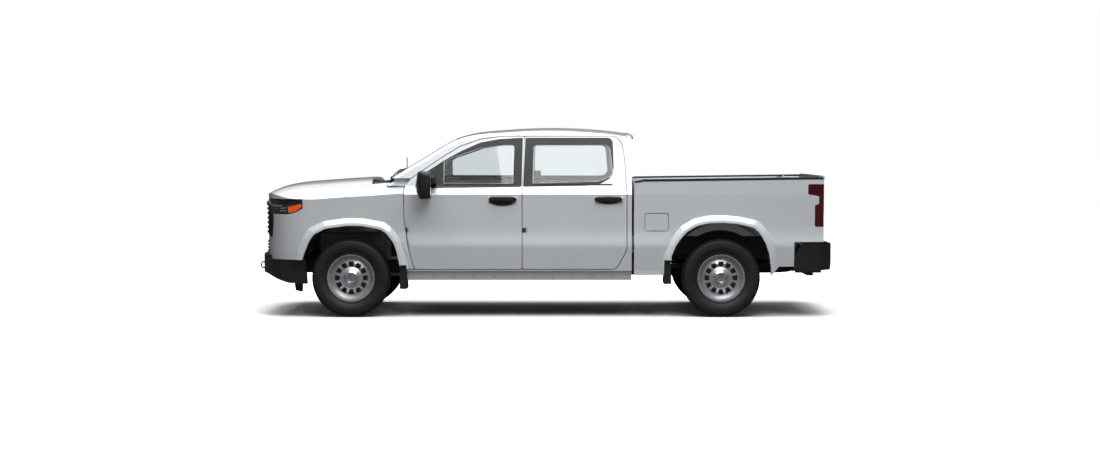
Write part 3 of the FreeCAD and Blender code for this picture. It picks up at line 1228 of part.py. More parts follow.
def seat(x, y0, y1):
    base_z = s.seat_cushion_z
    cushion = prism_y([(x, base_z - 170), (x, base_z), (x + s.seat_length, base_z - 30), (x + s.seat_length,
                                                                                          base_z - 170)],
                      y0, y1, [30, 60, 20, 20])
    rear = x + s.seat_length - 60
    back = prism_y([(rear, base_z - 150), (rear + s.seat_lean, s.seat_back_z - 210),
                    (rear + s.seat_lean + s.seat_back_thick, s.seat_back_z - 210),
                    (rear + s.seat_back_thick, base_z - 170)],
                   y0, y1, [20, 50, 50, 20])
    mid, half, top = (y0 + y1) / 2, 120, rear + s.seat_lean
    rest = box((top + 20, mid - half, s.seat_back_z - 180), (top + 105, mid + half, s.seat_back_z))
    neck = box((top + 45, mid - half / 3, s.seat_back_z - 240), (top + 75, mid + half / 3,
                                                                 s.seat_back_z - 170))
    feet = box((x + 40, y0 + 40, floor_top_z + s.seat_gap), (x + s.seat_length - 20, y1 - 40, base_z - 160))
    return one([cushion, back, rest, neck, feet])


def dashboard():
    front = door_front_x + s.firewall + s.seat_gap
    low, high = s.dash_low_z, s.dash_top_z
    panel = prism_y([(front, low + 60), (front, high), (front + 0.6 * s.dash_length, high),
                     (front + s.dash_length, high - 60),
                     (front + s.dash_length - 30, high - 210), (front + 0.5 * s.dash_length, low)],
                    -s.dash_half, s.dash_half, [0, 0, 60, 50, 50, 60])
    console = box((front + 0.3 * s.dash_length, -s.seat_y * 0.28, floor_top_z + s.seat_gap),
                  (s.front_seat_x + 1.1 * s.seat_length, s.seat_y * 0.28, low + 20))
    along = Vector(math.cos(math.radians(s.column_slope)), 0, math.sin(math.radians(s.column_slope)))
    centre = Vector(s.steering_x, s.steering_y, s.steering_z)
    shroud = Part.makeCylinder(s.column_radius * 1.6, s.column_length,
                               centre - along * (s.column_length + s.column_gap), along)
    bore = Part.makeCylinder(s.column_radius + s.pin_gap, s.column_length * 0.6,
                             centre - along * (s.column_length * 0.6 + s.column_gap), along)
    return one([panel, console, shroud]).cut(bore)


def steering_wheel():
    ring = Part.makeTorus(s.steering_radius, s.steering_rim, Vector(0, 0, 0), X)
    hub = Part.makeCylinder(s.steering_radius * 0.3, 40, Vector(-20, 0, 0), X)
    spokes = []
    for turn in (90, 210, 330):
        spoke = Part.makeBox(20, 34, s.steering_radius - 4, Vector(-10, -17, 0))
        spokes.append(spoke.rotate(Vector(0, 0, 0), X, turn))
    shaft = Part.makeCylinder(s.column_radius, s.column_gap + s.column_length * 0.5, Vector(0, 0, 0),
                              X * -1)
    return one([ring, hub, shaft, *spokes])


# Mirror and handle on a front door

def mirror_half():
    x, low, y0 = s.mirror_x - s.mirror_depth / 2, s.mirror_low_z, s.half_width + s.mirror_stand
    head = box((x, y0, low), (x + s.mirror_depth, y0 + s.mirror_width, low + s.mirror_height))
    head = head.makeFillet(s.mirror_depth * 0.25, head.Edges)
    foot_y, foot_z = s.half_width - 2 * s.belt_inset, s.mirror_foot_z
    stalk = prism_x([(foot_y, foot_z), (y0 + s.mirror_stand, foot_z), (y0 + s.mirror_stand,
                                                                       foot_z + s.mirror_stand),
                     (foot_y, foot_z + 2 * s.mirror_stand)], x + s.mirror_stand,
                    x + s.mirror_depth + s.mirror_stand)
    return one([head, stalk]).cut(outer_cab)


def tube(points, radius):
    """A bent pipe through the points."""
    solids = []
    for a, b in zip(points, points[1:]):
        run = Vector(*b) - Vector(*a)
        solids.append(Part.makeCylinder(radius, run.Length, Vector(*a), run))
    solids += [Part.makeSphere(radius * s.bend_share, Vector(*point)) for point in points[1:-1]]
    return solids[0].multiFuse(solids[1:])


cross_low_z = s.rail_low_z + 0.45 * s.rail_height
gearbox_x = front_axle_x + 0.45 * s.engine_length


def engine_shape():
    x1 = gearbox_x
    block = box((x1 - s.engine_length, -s.engine_width * 0.36, s.engine_low_z), (x1, s.engine_width * 0.36,
                                                                                 s.engine_low_z + 0.62 * s.engine_height))
    top = prism_x([(-s.engine_width / 2, s.engine_low_z + s.engine_height * 0.5), (s.engine_width / 2,
                                                                                   s.engine_low_z + s.engine_height * 0.5),
                   (s.engine_width * 0.36, s.engine_low_z + s.engine_height), (-s.engine_width * 0.36,
                                                                               s.engine_low_z + s.engine_height)],
                  x1 - s.engine_length * 0.94, x1 - s.engine_length * 0.1, 30)
    mid = x1 - s.engine_length / 2
    mount = box((mid - 40, -s.rail_inner_half + s.seat_gap, s.engine_low_z), (mid + 40,
                                                                              s.rail_inner_half - s.seat_gap, s.engine_low_z + 50))
    return one([block, top, mount])


case_top = "(rail_low_z + 0.45 * rail_height - seat_gap)"
engine_end = "(front_overhang - 0.5 * overall_length + 0.45 * engine_length)"


def gearbox(label):
    """A case on the frame's cross members, with a bell housing against the engine."""
    case = primitive("Box", f"{label}_case", [f"{engine_end} + 0.3 * gearbox_length",
                                              "-0.5 * gearbox_width",
                                              f"{case_top} - case_height"],
                     Length="0.7 * gearbox_length", Width="gearbox_width", Height="case_height")
    bell = primitive("Box", f"{label}_bell", [f"{engine_end} + seat_gap", "-0.5 * gearbox_width",
                                              f"{case_top} - case_height"],
                     Length="0.31 * gearbox_length", Width="gearbox_width",
                     Height=f"floor_bottom_z - move_gap - {case_top} + case_height")
    return joined(label, case, bell)


shaft_z = cross_low_z - s.seat_gap - s.shaft_drop
shaft_start = Vector(gearbox_x + s.gearbox_length + s.shaft_gap, 0, shaft_z)
shaft_end = Vector(rear_axle_x - s.axle_tube_radius * 2.9 - s.seat_gap, 0, s.wheel_radius)

pipe_y = (s.rail_inner_half + s.rail_width + s.track / 2 - s.tyre_width / 2) / 2
low_pipe_z = s.rail_low_z - s.pipe_radius - s.move_gap
exhaust_points = [(gearbox_x + 0.55 * s.gearbox_length, s.gearbox_width / 2 + s.seat_gap, low_pipe_z),
                  (gearbox_x + 0.55 * s.gearbox_length, s.gearbox_width * 0.8, low_pipe_z),
                  (gearbox_x + 0.9 * s.gearbox_length, pipe_y, low_pipe_z),
                  (rear_axle_x - 1.1 * s.wheel_radius, pipe_y, low_pipe_z + 20),
                  (rear_axle_x - 0.45 * s.wheel_radius, pipe_y,
                   s.wheel_radius + s.axle_tube_radius + s.pipe_radius + s.seat_gap),
                  (rear_axle_x + 0.45 * s.wheel_radius, pipe_y,
                   s.wheel_radius + s.axle_tube_radius + s.pipe_radius + s.seat_gap),
                  (rear_axle_x + 1.2 * s.wheel_radius, pipe_y, low_pipe_z + 30), (tail_x - s.overrun / 4,
                                                                                  pipe_y, low_pipe_z + 10)]


def receiver():
    """A square tow socket below the bumper, on a beam across the frame's ends."""
    z, rear = s.rail_low_z, tail_x - s.rear_bumper_wall * 0.42 - s.seat_gap
    half = s.receiver_outer / 2
    beam = box((rear - s.receiver_outer, 0, z - half), (rear, s.rail_inner_half + s.rail_width,
                                                        z + half * 0.8))
    leg = box((rear - s.receiver_outer, s.rail_inner_half, z),
              (rear, s.rail_inner_half + s.rail_width, z + s.rail_kick - s.seat_gap))
    socket = box((rear - 2 * s.receiver_outer, 0, z - half), (tail_x + s.receiver_reach, half, z + half))
    bore = box((rear - 3 * s.receiver_outer, 0, z - s.receiver_bore / 2), (tail_x + s.overrun,
                                                                           s.receiver_bore / 2,
                                                                           z + s.receiver_bore / 2))
    return one([beam, leg, socket]).cut(bore)


def radiator(label):
    """A core behind the nose on a foot across the frame's front ends."""
    x = "nose_inset - 0.5 * overall_length + radiator_set_in"
    foot_z = "(rail_low_z + rail_height + seat_gap)"
    core = primitive("Box", f"{label}_core", [x, "-radiator_half", "radiator_low_z"],
                     Length="radiator_depth",
                     Width="2 * radiator_half", Height="radiator_height")
    foot = primitive("Box", f"{label}_foot", [f"{x} + foot_inset", "-(rail_inner_half + rail_width)",
                                              foot_z],
                     Length="radiator_depth - 2 * foot_inset", Width="2 * (rail_inner_half + rail_width)",
                     Height=f"radiator_low_z + foot_inset - {foot_z}")
    return joined(label, core, foot)


def fuel_tank(label):
    """A tank with rounded long edges, hung outside the left rail."""
    body = primitive("Box", f"{label}_block",
                     ["tank_x", "-(rail_inner_half + rail_width + seat_gap + tank_width)", "tank_low_z"],
                     Length="tank_length", Width="tank_width", Height="tank_height")
    doc.recompute()
    rounding = doc.addObject("Part::Fillet", label)
    rounding.Base = body
    long_edges = [i for i, edge in enumerate(body.Shape.Edges, 1) if edge.BoundBox.XLength > 1]
    rounding.Edges = [(i, s.tank_corner, s.tank_corner) for i in long_edges]
    doc.recompute()
    rounding.Label = label
    PARTS.append(rounding)


def windows_fixed():
    screen = pane.common(prism_x(screen_outline(-s.seat_gap), door_front_x - s.overrun, 0, 90))
    rear = prism_x(back_window_outline(-s.seat_gap), cab_rear_x - s.glass_inset - s.glass_thick,
                   cab_rear_x - s.glass_inset, 60)
    return Part.makeCompound([whole(screen), rear])


def handle(x):
    z = s.door_bottom_z + 0.815 * (s.belt_z - s.door_bottom_z)
    y = s.half_width - s.side_depth * 0.3
    grip = box((x, y - s.handle_depth, z), (x + s.handle_length, y + s.handle_depth,
                                            z + s.handle_height * 0.55))
    return grip.makeFillet(s.handle_depth * 0.4, [edge for edge in grip.Edges if edge.BoundBox.YMin > y])


hinge_mid_z = (s.hinge_low_z + s.hinge_high_z) / 2

# Every sub-part with its label

both_ways = {"right": 1, "left": -1}


def sided(shape, side):
    return shape if side > 0 else mirrored(shape)


handle_x = {"front": door_split_x - s.handle_length - s.hinge_back * 1.4,
            "rear": door_rear_x - s.handle_length - s.hinge_back * 0.9}
for name, side in both_ways.items():
    for door in ("front", "rear"):
        at = (HINGE_X[door], side * s.hinge_y, hinge_mid_z)
        slab = one([doors[door], handle(handle_x[door])])
        placed(f"door_{door}_{name}", sided(slab, side), at, 1)
        placed(f"glass_{door}_{name}", sided(glasses[door], side), at, 1)
    placed(f"mirror_{name}", sided(mirror_half(), side), (s.mirror_x, side * s.half_width, s.mirror_low_z),
           1)
    for axle, x in (("front", front_axle_x), ("rear", rear_axle_x)):
        hub = (x, side * s.track / 2, s.wheel_radius)
        tyre(f"tyre_{axle}_{name}", hub)
        rim(f"rim_{axle}_{name}", hub, side)
    node(f"knuckle_{name}", knuckle_shape(side), (front_axle_x, side * s.kingpin_y, s.wheel_radius), 1)

wing_flare = front_flare.cut([fascia_zone(s.seat_gap), wing_floor, door_gap])
wing_relief = swing_relief(s.shut_gap, s.hinge_y + s.wing_relief_in, 1)
wing_right = one([wing_half, wing_flare]).cut(mud_flap(*front_flap, s.seat_gap)).cut(wing_relief)
antenna = Part.makeCylinder(s.antenna_radius, s.antenna_top_z - s.belt_z, Vector(s.antenna_x, s.antenna_y,
                                                                                 s.belt_z))
wing_at = (front_axle_x, s.half_width, s.belt_z)
placed("fender_right", one([wing_right, antenna]), wing_at, 1)
placed("fender_left", mirrored(wing_right), (front_axle_x, -s.half_width, s.belt_z), 1)
fascia_right = one([max(fascia_half.Solids, key=lambda solid: solid.Volume),
                    front_flare.common(fascia_zone())])
placed("front_fascia", whole(fascia_right), (nose_x, 0, s.fascia_bottom_z), 1)
placed("hood", hood(), (hood_hinge_x, 0, s.hood_hinge_z), 1)
placed("grille", whole(grille_half_shape), (nose_x, 0, s.grille_bottom_z), 1)
placed("head_lamps", both(lamp_half), (nose_x, 0, s.lamp_bottom_z), 2)
placed("front_bumper", front_bumper(), (nose_x, 0, s.bumper_bottom_z), 1)
radiator("radiator")
placed("cowl", whole(one([cowl_half_shape, cowl_wall]).cut(outer_cab)), (door_front_x, 0, s.belt_z), 1)

placed("cab_shell", shell, (door_front_x, 0, s.floor_bottom_z), 1)
placed("windows_fixed", windows_fixed(), (door_front_x, 0, s.belt_z), 2)
placed("dashboard", dashboard(), (door_front_x, 0, s.dash_low_z), 1)
seats = [seat(s.front_seat_x, side * s.seat_y - s.seat_width / 2,
              side * s.seat_y + s.seat_width / 2) for side in (1, -1)]
placed("seats_front", Part.makeCompound(seats), (s.front_seat_x, 0, floor_top_z), 2)
placed("seat_rear", seat(s.rear_seat_x, -s.bench_half, s.bench_half), (s.rear_seat_x, 0, floor_top_z), 1)
wheel_turn = Rotation(Y, -s.column_slope)
node("steering_wheel", steering_wheel(), (s.steering_x, s.steering_y, s.steering_z), 1, wheel_turn)

bed_half = bed_half.cut([mud_flap(*rear_flap, s.seat_gap), rear_bumper_side(s.seat_gap)])
placed("bed_side_right", bed_half, (bed_front_x, s.half_width, s.bed_floor_z), 1)
pocketed = one([bed_half.cut(fuel_pocket), fuel_pins(s.fuel_pin_radius, 0)])
placed("bed_side_left", mirrored(pocketed), (bed_front_x, -s.half_width, s.bed_floor_z), 1)
lid = fuel_lid.cut(fuel_pins(s.fuel_pin_radius + s.pin_gap, 1))
placed("fuel_lid", mirrored(lid), (fuel_hinge_x, -fuel_hinge_y, s.fuel_low_z), 1)
placed("bed_tub", bed_tub(), (bed_front_x, 0, s.bed_floor_z), 1)
placed("tailgate", tailgate(), (gate_hinge_x, 0, s.gate_hinge_z), 1)
placed("tail_lamps", both(tail_lamp_half), (tail_x, 0, s.tail_lamp_bottom_z), 2)
placed("rear_bumper", rear_bumper(), (tail_x, 0, s.rear_bumper_bottom_z), 1)

placed("ladder_frame", whole(frame_half()), (0, 0, s.rail_low_z), 1)
placed("tow_hitch", whole(receiver()), (tail_x, 0, s.rail_low_z), 1)
placed("suspension", both(suspension_half()), (front_axle_x, 0, s.wheel_radius), 2)
placed("engine", engine_shape(), (gearbox_x, 0, s.engine_low_z), 1)
gearbox("gearbox")
shaft = primitive("Cylinder", "driveshaft", [], Radius="shaft_radius")
shaft.Height = (shaft_end - shaft_start).Length
registered(shaft, "driveshaft", shaft_start, Rotation(Z, shaft_end - shaft_start))
muffler = Part.makeCylinder(2.4 * s.pipe_radius, 1.5 * s.wheel_radius, Vector(0, pipe_y, low_pipe_z + 8), X)
placed("exhaust", one([tube(exhaust_points, s.pipe_radius), muffler]), exhaust_points[0], 1)
fuel_tank("fuel_tank")
node("rear_axle", rear_axle_shape(), (rear_axle_x, 0, s.wheel_radius), 1)
placed("leaf_springs", both(leaf_half()), (rear_axle_x, 0, s.wheel_radius), 2)
spare_z = cross_low_z + s.rail_kick - s.seat_gap - s.spare_width / 2
spare("spare_wheel", (s.spare_x, 0, spare_z))
liners = [liner_half(front_axle_x, 0.55 * s.half_width).common(nose_inner), liner_half(rear_axle_x,
                                                                                       s.bed_inner_half + s.seat_gap).common(bed_core)]
placed("arch_liners", Part.makeCompound([both(liner) for liner in liners]), (front_axle_x, 0, s.liner_z), 4)
flaps = [mud_flap(*front_flap).cut(outer_cab), mud_flap(*rear_flap)]
placed("mud_flaps", Part.makeCompound([both(flap) for flap in flaps]), (front_axle_x, 0, s.flap_low_z), 4)

# Checks before anything is written

doc.recompute()
for feature in PARTS:
    if "Invalid" in feature.State or "Error" in feature.State:
        raise RuntimeError(f"{feature.Label} is {feature.State}")
    if feature.Shape.isNull() or not feature.Shape.isValid():
        raise RuntimeError(f"{feature.Label} has no valid shape")

os.makedirs("parts", exist_ok=True)
for feature in PARTS:
    feature.Shape.exportStep(f"parts/{feature.Label}.step")
print(len(PARTS), "sub-parts written")
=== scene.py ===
"""Looks of a full-size crew-cab pickup truck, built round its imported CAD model.

+X runs to the tail, +Y to the right-hand side and +Z up, in metres. The camera looks along +Y at the
truck's left side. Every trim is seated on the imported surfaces, which Skin finds by casting rays at them.
"""
import json
import logging
import math
from collections.abc import Callable
from dataclasses import dataclass, field
from enum import Enum

import bmesh
import bpy
from mathutils import Matrix, Vector
from mathutils.bvhtree import BVHTree

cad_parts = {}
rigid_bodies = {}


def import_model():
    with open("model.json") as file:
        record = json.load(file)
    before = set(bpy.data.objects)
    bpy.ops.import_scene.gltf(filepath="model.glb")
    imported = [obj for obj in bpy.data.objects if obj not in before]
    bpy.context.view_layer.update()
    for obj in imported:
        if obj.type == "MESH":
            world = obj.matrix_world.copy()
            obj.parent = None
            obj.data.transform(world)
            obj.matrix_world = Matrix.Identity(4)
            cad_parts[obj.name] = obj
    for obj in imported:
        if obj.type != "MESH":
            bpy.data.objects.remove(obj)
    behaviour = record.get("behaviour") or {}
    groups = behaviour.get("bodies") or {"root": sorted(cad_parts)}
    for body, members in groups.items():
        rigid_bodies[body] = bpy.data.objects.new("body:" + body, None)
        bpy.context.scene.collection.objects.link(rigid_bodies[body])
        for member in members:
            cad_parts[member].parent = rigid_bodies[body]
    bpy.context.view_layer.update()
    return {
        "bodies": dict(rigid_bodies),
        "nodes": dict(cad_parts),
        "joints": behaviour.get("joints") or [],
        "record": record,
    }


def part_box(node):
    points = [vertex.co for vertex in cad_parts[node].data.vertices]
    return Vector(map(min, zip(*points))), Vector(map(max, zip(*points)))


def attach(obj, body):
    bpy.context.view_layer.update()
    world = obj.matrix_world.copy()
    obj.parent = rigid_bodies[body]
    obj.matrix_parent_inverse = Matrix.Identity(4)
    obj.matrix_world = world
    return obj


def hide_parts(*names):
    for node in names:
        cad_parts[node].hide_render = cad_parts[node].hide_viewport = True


log = logging.getLogger("pickup")

Mesh = bmesh.types.BMesh
Seating = Callable[[float, float], tuple]

SIDES = {"left": -1, "right": 1}
AXLES = ("front", "rear")
TURN = 2 * math.pi
AFT, RIGHT, UP = Vector((1, 0, 0)), Vector((0, 1, 0)), Vector((0, 0, 1))
PAD_FOOT = 0.002
BAND_FOOT = 0.003


# Node trees

def feed(tree: bpy.types.NodeTree, target: bpy.types.Node, inputs: dict) -> None:
    """Links each input to the socket given for it, or sets it to the value."""
    for name, value in inputs.items():
        if isinstance(value, bpy.types.NodeSocket):
            tree.links.new(value, target.inputs[name])
        else:
            target.inputs[name].default_value = value


def add_node(tree: bpy.types.NodeTree, kind: str, inputs: dict | None = None, **settings) -> bpy.types.Node:
    """Adds a node with its settings, then feeds its inputs."""
    made = tree.nodes.new(kind)
    for name, value in settings.items():
        setattr(made, name, value)
    feed(tree, made, inputs or {})
    return made


def reckon(tree: bpy.types.NodeTree, operation: str, first, second=0.0) -> bpy.types.NodeSocket:
    """One step of arithmetic on sockets or numbers."""
    return add_node(tree, "ShaderNodeMath", {0: first, 1: second}, operation=operation).outputs["Value"]


# Finishes

class Grain(Enum):
    """What the small relief of a finish looks like."""

    PEEL = "orange peel of sprayed paint"
    MOULDED = "fine leather-like moulded grain"
    RUBBER = "dull rubber with faint flow marks"
    WEAVE = "woven cloth"
    CAST = "rough cast or coated metal"
    BRUSHED = "lines drawn along the metal"
    NONE = "smooth"


PLAIN_TEXTURE = ("ShaderNodeTexNoise", {"Detail": 3.0}, "Fac")
TEXTURES = {Grain.WEAVE: ("ShaderNodeTexWave", {"Distortion": 1.5, "Detail": 2.0}, "Fac"),
            Grain.MOULDED: ("ShaderNodeTexVoronoi", {}, "Distance")}
BRUSH_STRETCH = (0.03, 1.0, 1.0)
COAT_ROUGHNESS = 0.04
BROAD = {"Scale": 3.5, "Detail": 5.0}
DARKER, LIGHTER = 0.96, 1.03
DUST_COLOUR = (0.20, 0.18, 0.15, 1)
DUST_TOP, DUST_FOOT = 0.75, 0.15
BUMP_STRENGTH = 0.6


@dataclass(frozen=True)
class Finish:
    """One surface finish.

    Attributes:
        name: material name.
        colour: base colour, linear.
        rough: mean roughness, and how far it wanders.
        grain: kind of relief.
        scale: how many grains there are in a metre.
        depth: height of the relief in metres.
        metal: metallic share.
        coat: clear coat share.
        soil: colour share of road dust near the ground.
        clear: transmission share.
        glow: emission strength of the base colour.
    """

    name: str
    colour: tuple
    rough: tuple
    grain: Grain = Grain.NONE
    scale: float = 900.0
    depth: float = 0.0002
    metal: float = 0.0
    coat: float = 0.0
    soil: float = 0.0
    clear: float = 0.0
    glow: float = 0.0

    def build(self) -> bpy.types.Material:
        """Makes the material and its node tree."""
        material = bpy.data.materials.new(self.name)
        material.use_nodes = True
        tree = material.node_tree
        shader = tree.nodes["Principled BSDF"]
        place = add_node(tree, "ShaderNodeTexCoord").outputs["Object"]
        broad = add_node(tree, "ShaderNodeTexNoise", {**BROAD, "Vector": place}).outputs["Fac"]
        mean, wander = self.rough
        spread = add_node(tree, "ShaderNodeMapRange",
                          {"To Min": max(0.0, mean - wander), "To Max": mean + wander, "Value": broad})
        feed(tree, shader, {"Metallic": self.metal, "Coat Weight": self.coat, "Coat Roughness": COAT_ROUGHNESS,
                            "Transmission Weight": self.clear, "Roughness": spread.outputs["Result"],
                            "Base Color": self._colour(tree, place, broad)})
        if self.glow:
            feed(tree, shader, {"Emission Color": (*self.colour, 1), "Emission Strength": self.glow})
        if self.grain is not Grain.NONE:
            feed(tree, shader, {"Normal": self._relief(tree, place)})
        return material

    def _colour(self, tree: bpy.types.NodeTree, place, broad) -> bpy.types.NodeSocket:
        """The colour, a little varied, with dust towards the ground."""
        tint = add_node(tree, "ShaderNodeMix", {
            "A": (*[c * DARKER for c in self.colour], 1), "B": (*[min(1, c * LIGHTER) for c in self.colour], 1),
            "Factor": broad}, data_type="RGBA").outputs["Result"]
        if not self.soil:
            return tint
        height = add_node(tree, "ShaderNodeSeparateXYZ", {"Vector": place}).outputs["Z"]
        low = add_node(tree, "ShaderNodeMapRange", {"From Min": DUST_TOP, "From Max": DUST_FOOT,
                                                    "To Max": self.soil, "Value": height}).outputs["Result"]
        return add_node(tree, "ShaderNodeMix", {"A": tint, "B": DUST_COLOUR,
                                                "Factor": reckon(tree, "MULTIPLY", low, broad)},
                        data_type="RGBA").outputs["Result"]

    def _relief(self, tree: bpy.types.NodeTree, place) -> bpy.types.NodeSocket:
        """The grain as a bumped normal."""
        stretch = {"Scale": BRUSH_STRETCH} if self.grain is Grain.BRUSHED else {}
        mapping = add_node(tree, "ShaderNodeMapping", {**stretch, "Vector": place}).outputs["Vector"]
        kind, settings, result = TEXTURES.get(self.grain, PLAIN_TEXTURE)
        texture = add_node(tree, kind, {**settings, "Scale": self.scale, "Vector": mapping})
        return add_node(tree, "ShaderNodeBump", {"Strength": BUMP_STRENGTH, "Distance": self.depth,
                                                 "Height": texture.outputs[result]}).outputs["Normal"]


FINISHES = {finish.name: finish for finish in (
    Finish("paint", (0.75, 0.785, 0.815), (0.26, 0.03), Grain.PEEL, 260.0, 0.00006, metal=0.12, coat=1.0),
    Finish("bed_paint", (0.66, 0.68, 0.70), (0.42, 0.08), Grain.PEEL, 260.0, 0.0001, metal=0.1, coat=0.3),
    Finish("black_plastic", (0.007, 0.007, 0.008), (0.50, 0.08), Grain.MOULDED, 700.0, 0.00025, soil=0.05),
    Finish("gloss_black", (0.008, 0.008, 0.009), (0.12, 0.03), Grain.PEEL, 200.0, 0.00003, coat=1.0),
    Finish("satin_black", (0.010, 0.010, 0.011), (0.42, 0.05), Grain.PEEL, 240.0, 0.00004),
    Finish("tyre", (0.006, 0.006, 0.006), (0.62, 0.10), Grain.RUBBER, 420.0, 0.0004, soil=0.06),
    Finish("wheel_steel", (0.60, 0.61, 0.63), (0.30, 0.05), Grain.PEEL, 300.0, 0.00005, metal=0.75, coat=0.4),
    Finish("cap_steel", (0.55, 0.56, 0.58), (0.22, 0.04), Grain.BRUSHED, 900.0, 0.00003, metal=0.9),
    Finish("glass", (0.80, 0.84, 0.85), (0.02, 0.01), clear=1.0),
    Finish("dark_glass", (0.16, 0.18, 0.19), (0.02, 0.01), clear=0.8),
    Finish("mirror_glass", (0.72, 0.74, 0.76), (0.03, 0.01), metal=1.0),
    Finish("lamp_clear", (0.05, 0.052, 0.056), (0.08, 0.02), clear=0.25, coat=1.0),
    Finish("lamp_bright", (0.85, 0.87, 0.9), (0.10, 0.03), metal=0.85, coat=0.6),
    Finish("lamp_amber", (0.85, 0.10, 0.012), (0.16, 0.04), coat=1.0, glow=0.25),
    Finish("lamp_red", (0.070, 0.004, 0.008), (0.10, 0.03), Grain.PEEL, 300.0, 0.00004, coat=1.0),
    Finish("chassis", (0.018, 0.018, 0.02), (0.45, 0.1), Grain.CAST, 160.0, 0.0005, soil=0.45),
    Finish("alloy", (0.34, 0.35, 0.36), (0.5, 0.1), Grain.CAST, 240.0, 0.0006, metal=0.8, soil=0.3),
    Finish("exhaust_steel", (0.30, 0.28, 0.26), (0.42, 0.12), Grain.BRUSHED, 500.0, 0.0002,
           metal=0.9, soil=0.4),
    Finish("fabric", (0.045, 0.045, 0.05), (0.85, 0.05), Grain.WEAVE, 380.0, 0.0006),
    Finish("cabin_plastic", (0.035, 0.035, 0.038), (0.6, 0.06), Grain.MOULDED, 500.0, 0.0003),
    Finish("brake_iron", (0.16, 0.15, 0.145), (0.4, 0.1), Grain.BRUSHED, 700.0, 0.0002, metal=0.9),
)}


class Palette:
    """The materials, each made once and handed out by its finish's name."""

    def __init__(self) -> None:
        self._made = {}

    def __getitem__(self, name: str) -> bpy.types.Material:
        if name not in self._made:
            self._made[name] = FINISHES[name].build()
        return self._made[name]


# Where things are

class Skin:
    """The outer surface of some CAD nodes, found by rays that start outside the truck."""

    FAR_AHEAD, FAR_ASIDE, FAR_ABOVE = 4.0, 3.0, 3.0
    NEAREST_REACH = 2.0

    def __init__(self, frame: dict, *names: str) -> None:
        self.points, faces = [], []
        for name in names:
            mesh, base = frame["nodes"][name].data, len(self.points)
            self.points += [vert.co.copy() for vert in mesh.vertices]
            faces += [[base + index for index in face.vertices] for face in mesh.polygons]
        self.tree = BVHTree.FromPolygons(self.points, faces)

    def cast(self, start: tuple, along: tuple) -> tuple:
        """The first point that a ray meets, and the surface's direction there, which faces the ray."""
        start, along = Vector(start), Vector(along)
        at, normal = self.tree.ray_cast(start, along)[:2]
        if at is None:
            at, normal = self.tree.find_nearest(start + along * self.NEAREST_REACH)[:2]
        return at, (-normal if normal.dot(along) > 0 else normal)

    def side(self, way: int) -> Seating:
        """The seat function of the left (-1) or right (+1) side, over (x, z)."""
        return lambda x, z: self.cast((x, way * self.FAR_ASIDE, z), (0, -way, 0))

    def front(self, y: float, z: float) -> tuple:
        """The seat of the front at y and z."""
        return self.cast((-self.FAR_AHEAD, y, z), (1, 0, 0))

    def rear(self, y: float, z: float) -> tuple:
        """The seat of the tail at y and z."""
        return self.cast((self.FAR_AHEAD, y, z), (-1, 0, 0))

    def top(self, x: float, y: float) -> tuple:
        """The seat seen from above at x and y."""
        return self.cast((x, y, self.FAR_ABOVE), (0, 0, -1))


def flat_side(y: float, way: int) -> Seating:
    """The seat function of a flat side at y, over (x, z)."""
    return lambda x, z: (Vector((x, y, z)), RIGHT * way)


def flat_end(x: float, way: int = 1) -> Seating:
    """The seat function of a flat end at x that faces the tail, over (y, z) on one side."""
    return lambda y, z: (Vector((x, way * y, z)), AFT)


# Outlines, as lists of (u, v) points

def turn_of(a: tuple, b: tuple, c: tuple) -> float:
    """Positive where a, b, c turn to the left."""
    return (b[0] - a[0]) * (c[1] - a[1]) - (b[1] - a[1]) * (c[0] - a[0])


def hull_of(points: list, first: int, second: int) -> list:
    """The convex outline of points in two of their coordinates."""
    points = sorted({(round(point[first], 5), round(point[second], 5)) for point in points})
    outline = []
    for run in (points, points[::-1]):
        half = []
        for point in run:
            while len(half) > 1 and turn_of(half[-2], half[-1], point) <= 0:
                half.pop()
            half.append(point)
        outline += half[:-1]
    return outline


def angles(count: int, closed: bool = False) -> list:
    """Equal turns round a circle; a closed run comes back to its start."""
    return [TURN * k / count for k in range(count + closed)]


def oval(centre: tuple, half: tuple, count: int) -> list:
    """An upright oval."""
    return [(centre[0] + half[0] * math.cos(t), centre[1] + half[1] * math.sin(t)) for t in angles(count)]


def between(a: tuple, b: tuple, share: float) -> tuple:
    """The point at a share of the way from a to b."""
    return tuple(p + (q - p) * share for p, q in zip(a, b))


def middle_of(loop: list) -> tuple:
    """The mean of an outline's points."""
    return tuple(sum(values) / len(loop) for values in zip(*loop))


def rounded_loop(points: list, radius: float, steps: int = 4) -> list:
    """Rounds each corner of a closed outline with a small arc."""
    loop = []
    for i, point in enumerate(points):
        here = Vector(point)
        before, after = Vector(points[i - 1]) - here, Vector(points[(i + 1) % len(points)]) - here
        reach = min(radius, before.length * 0.48, after.length * 0.48)
        start, end = here + before.normalized() * reach, here + after.normalized() * reach
        for step in range(steps + 1):
            t = step / steps
            loop.append(tuple((1 - t) ** 2 * start + 2 * t * (1 - t) * here + t * t * end))
    return loop


def divided(loop: list, length: float) -> list:
    """The closed outline with its longer runs divided into pieces of about a length."""
    result = []
    for i, point in enumerate(loop):
        after = loop[(i + 1) % len(loop)]
        count = max(1, round(math.dist(point, after) / length))
        result += [tuple(a + (b - a) * k / count for a, b in zip(point, after)) for k in range(count)]
    return result


def plate(u: tuple, v: tuple, radius: float) -> list:
    """A rectangle with rounded corners, from its reach in u and in v."""
    return rounded_loop([(u[0], v[0]), (u[1], v[0]), (u[1], v[1]), (u[0], v[1])], radius)


def grown(loop: list, by: float) -> list:
    """An outline moved out from its middle by a distance along each point's own ray."""
    middle = Vector(middle_of(loop))
    return [tuple(Vector(point) + (Vector(point) - middle).normalized() * by) for point in loop]


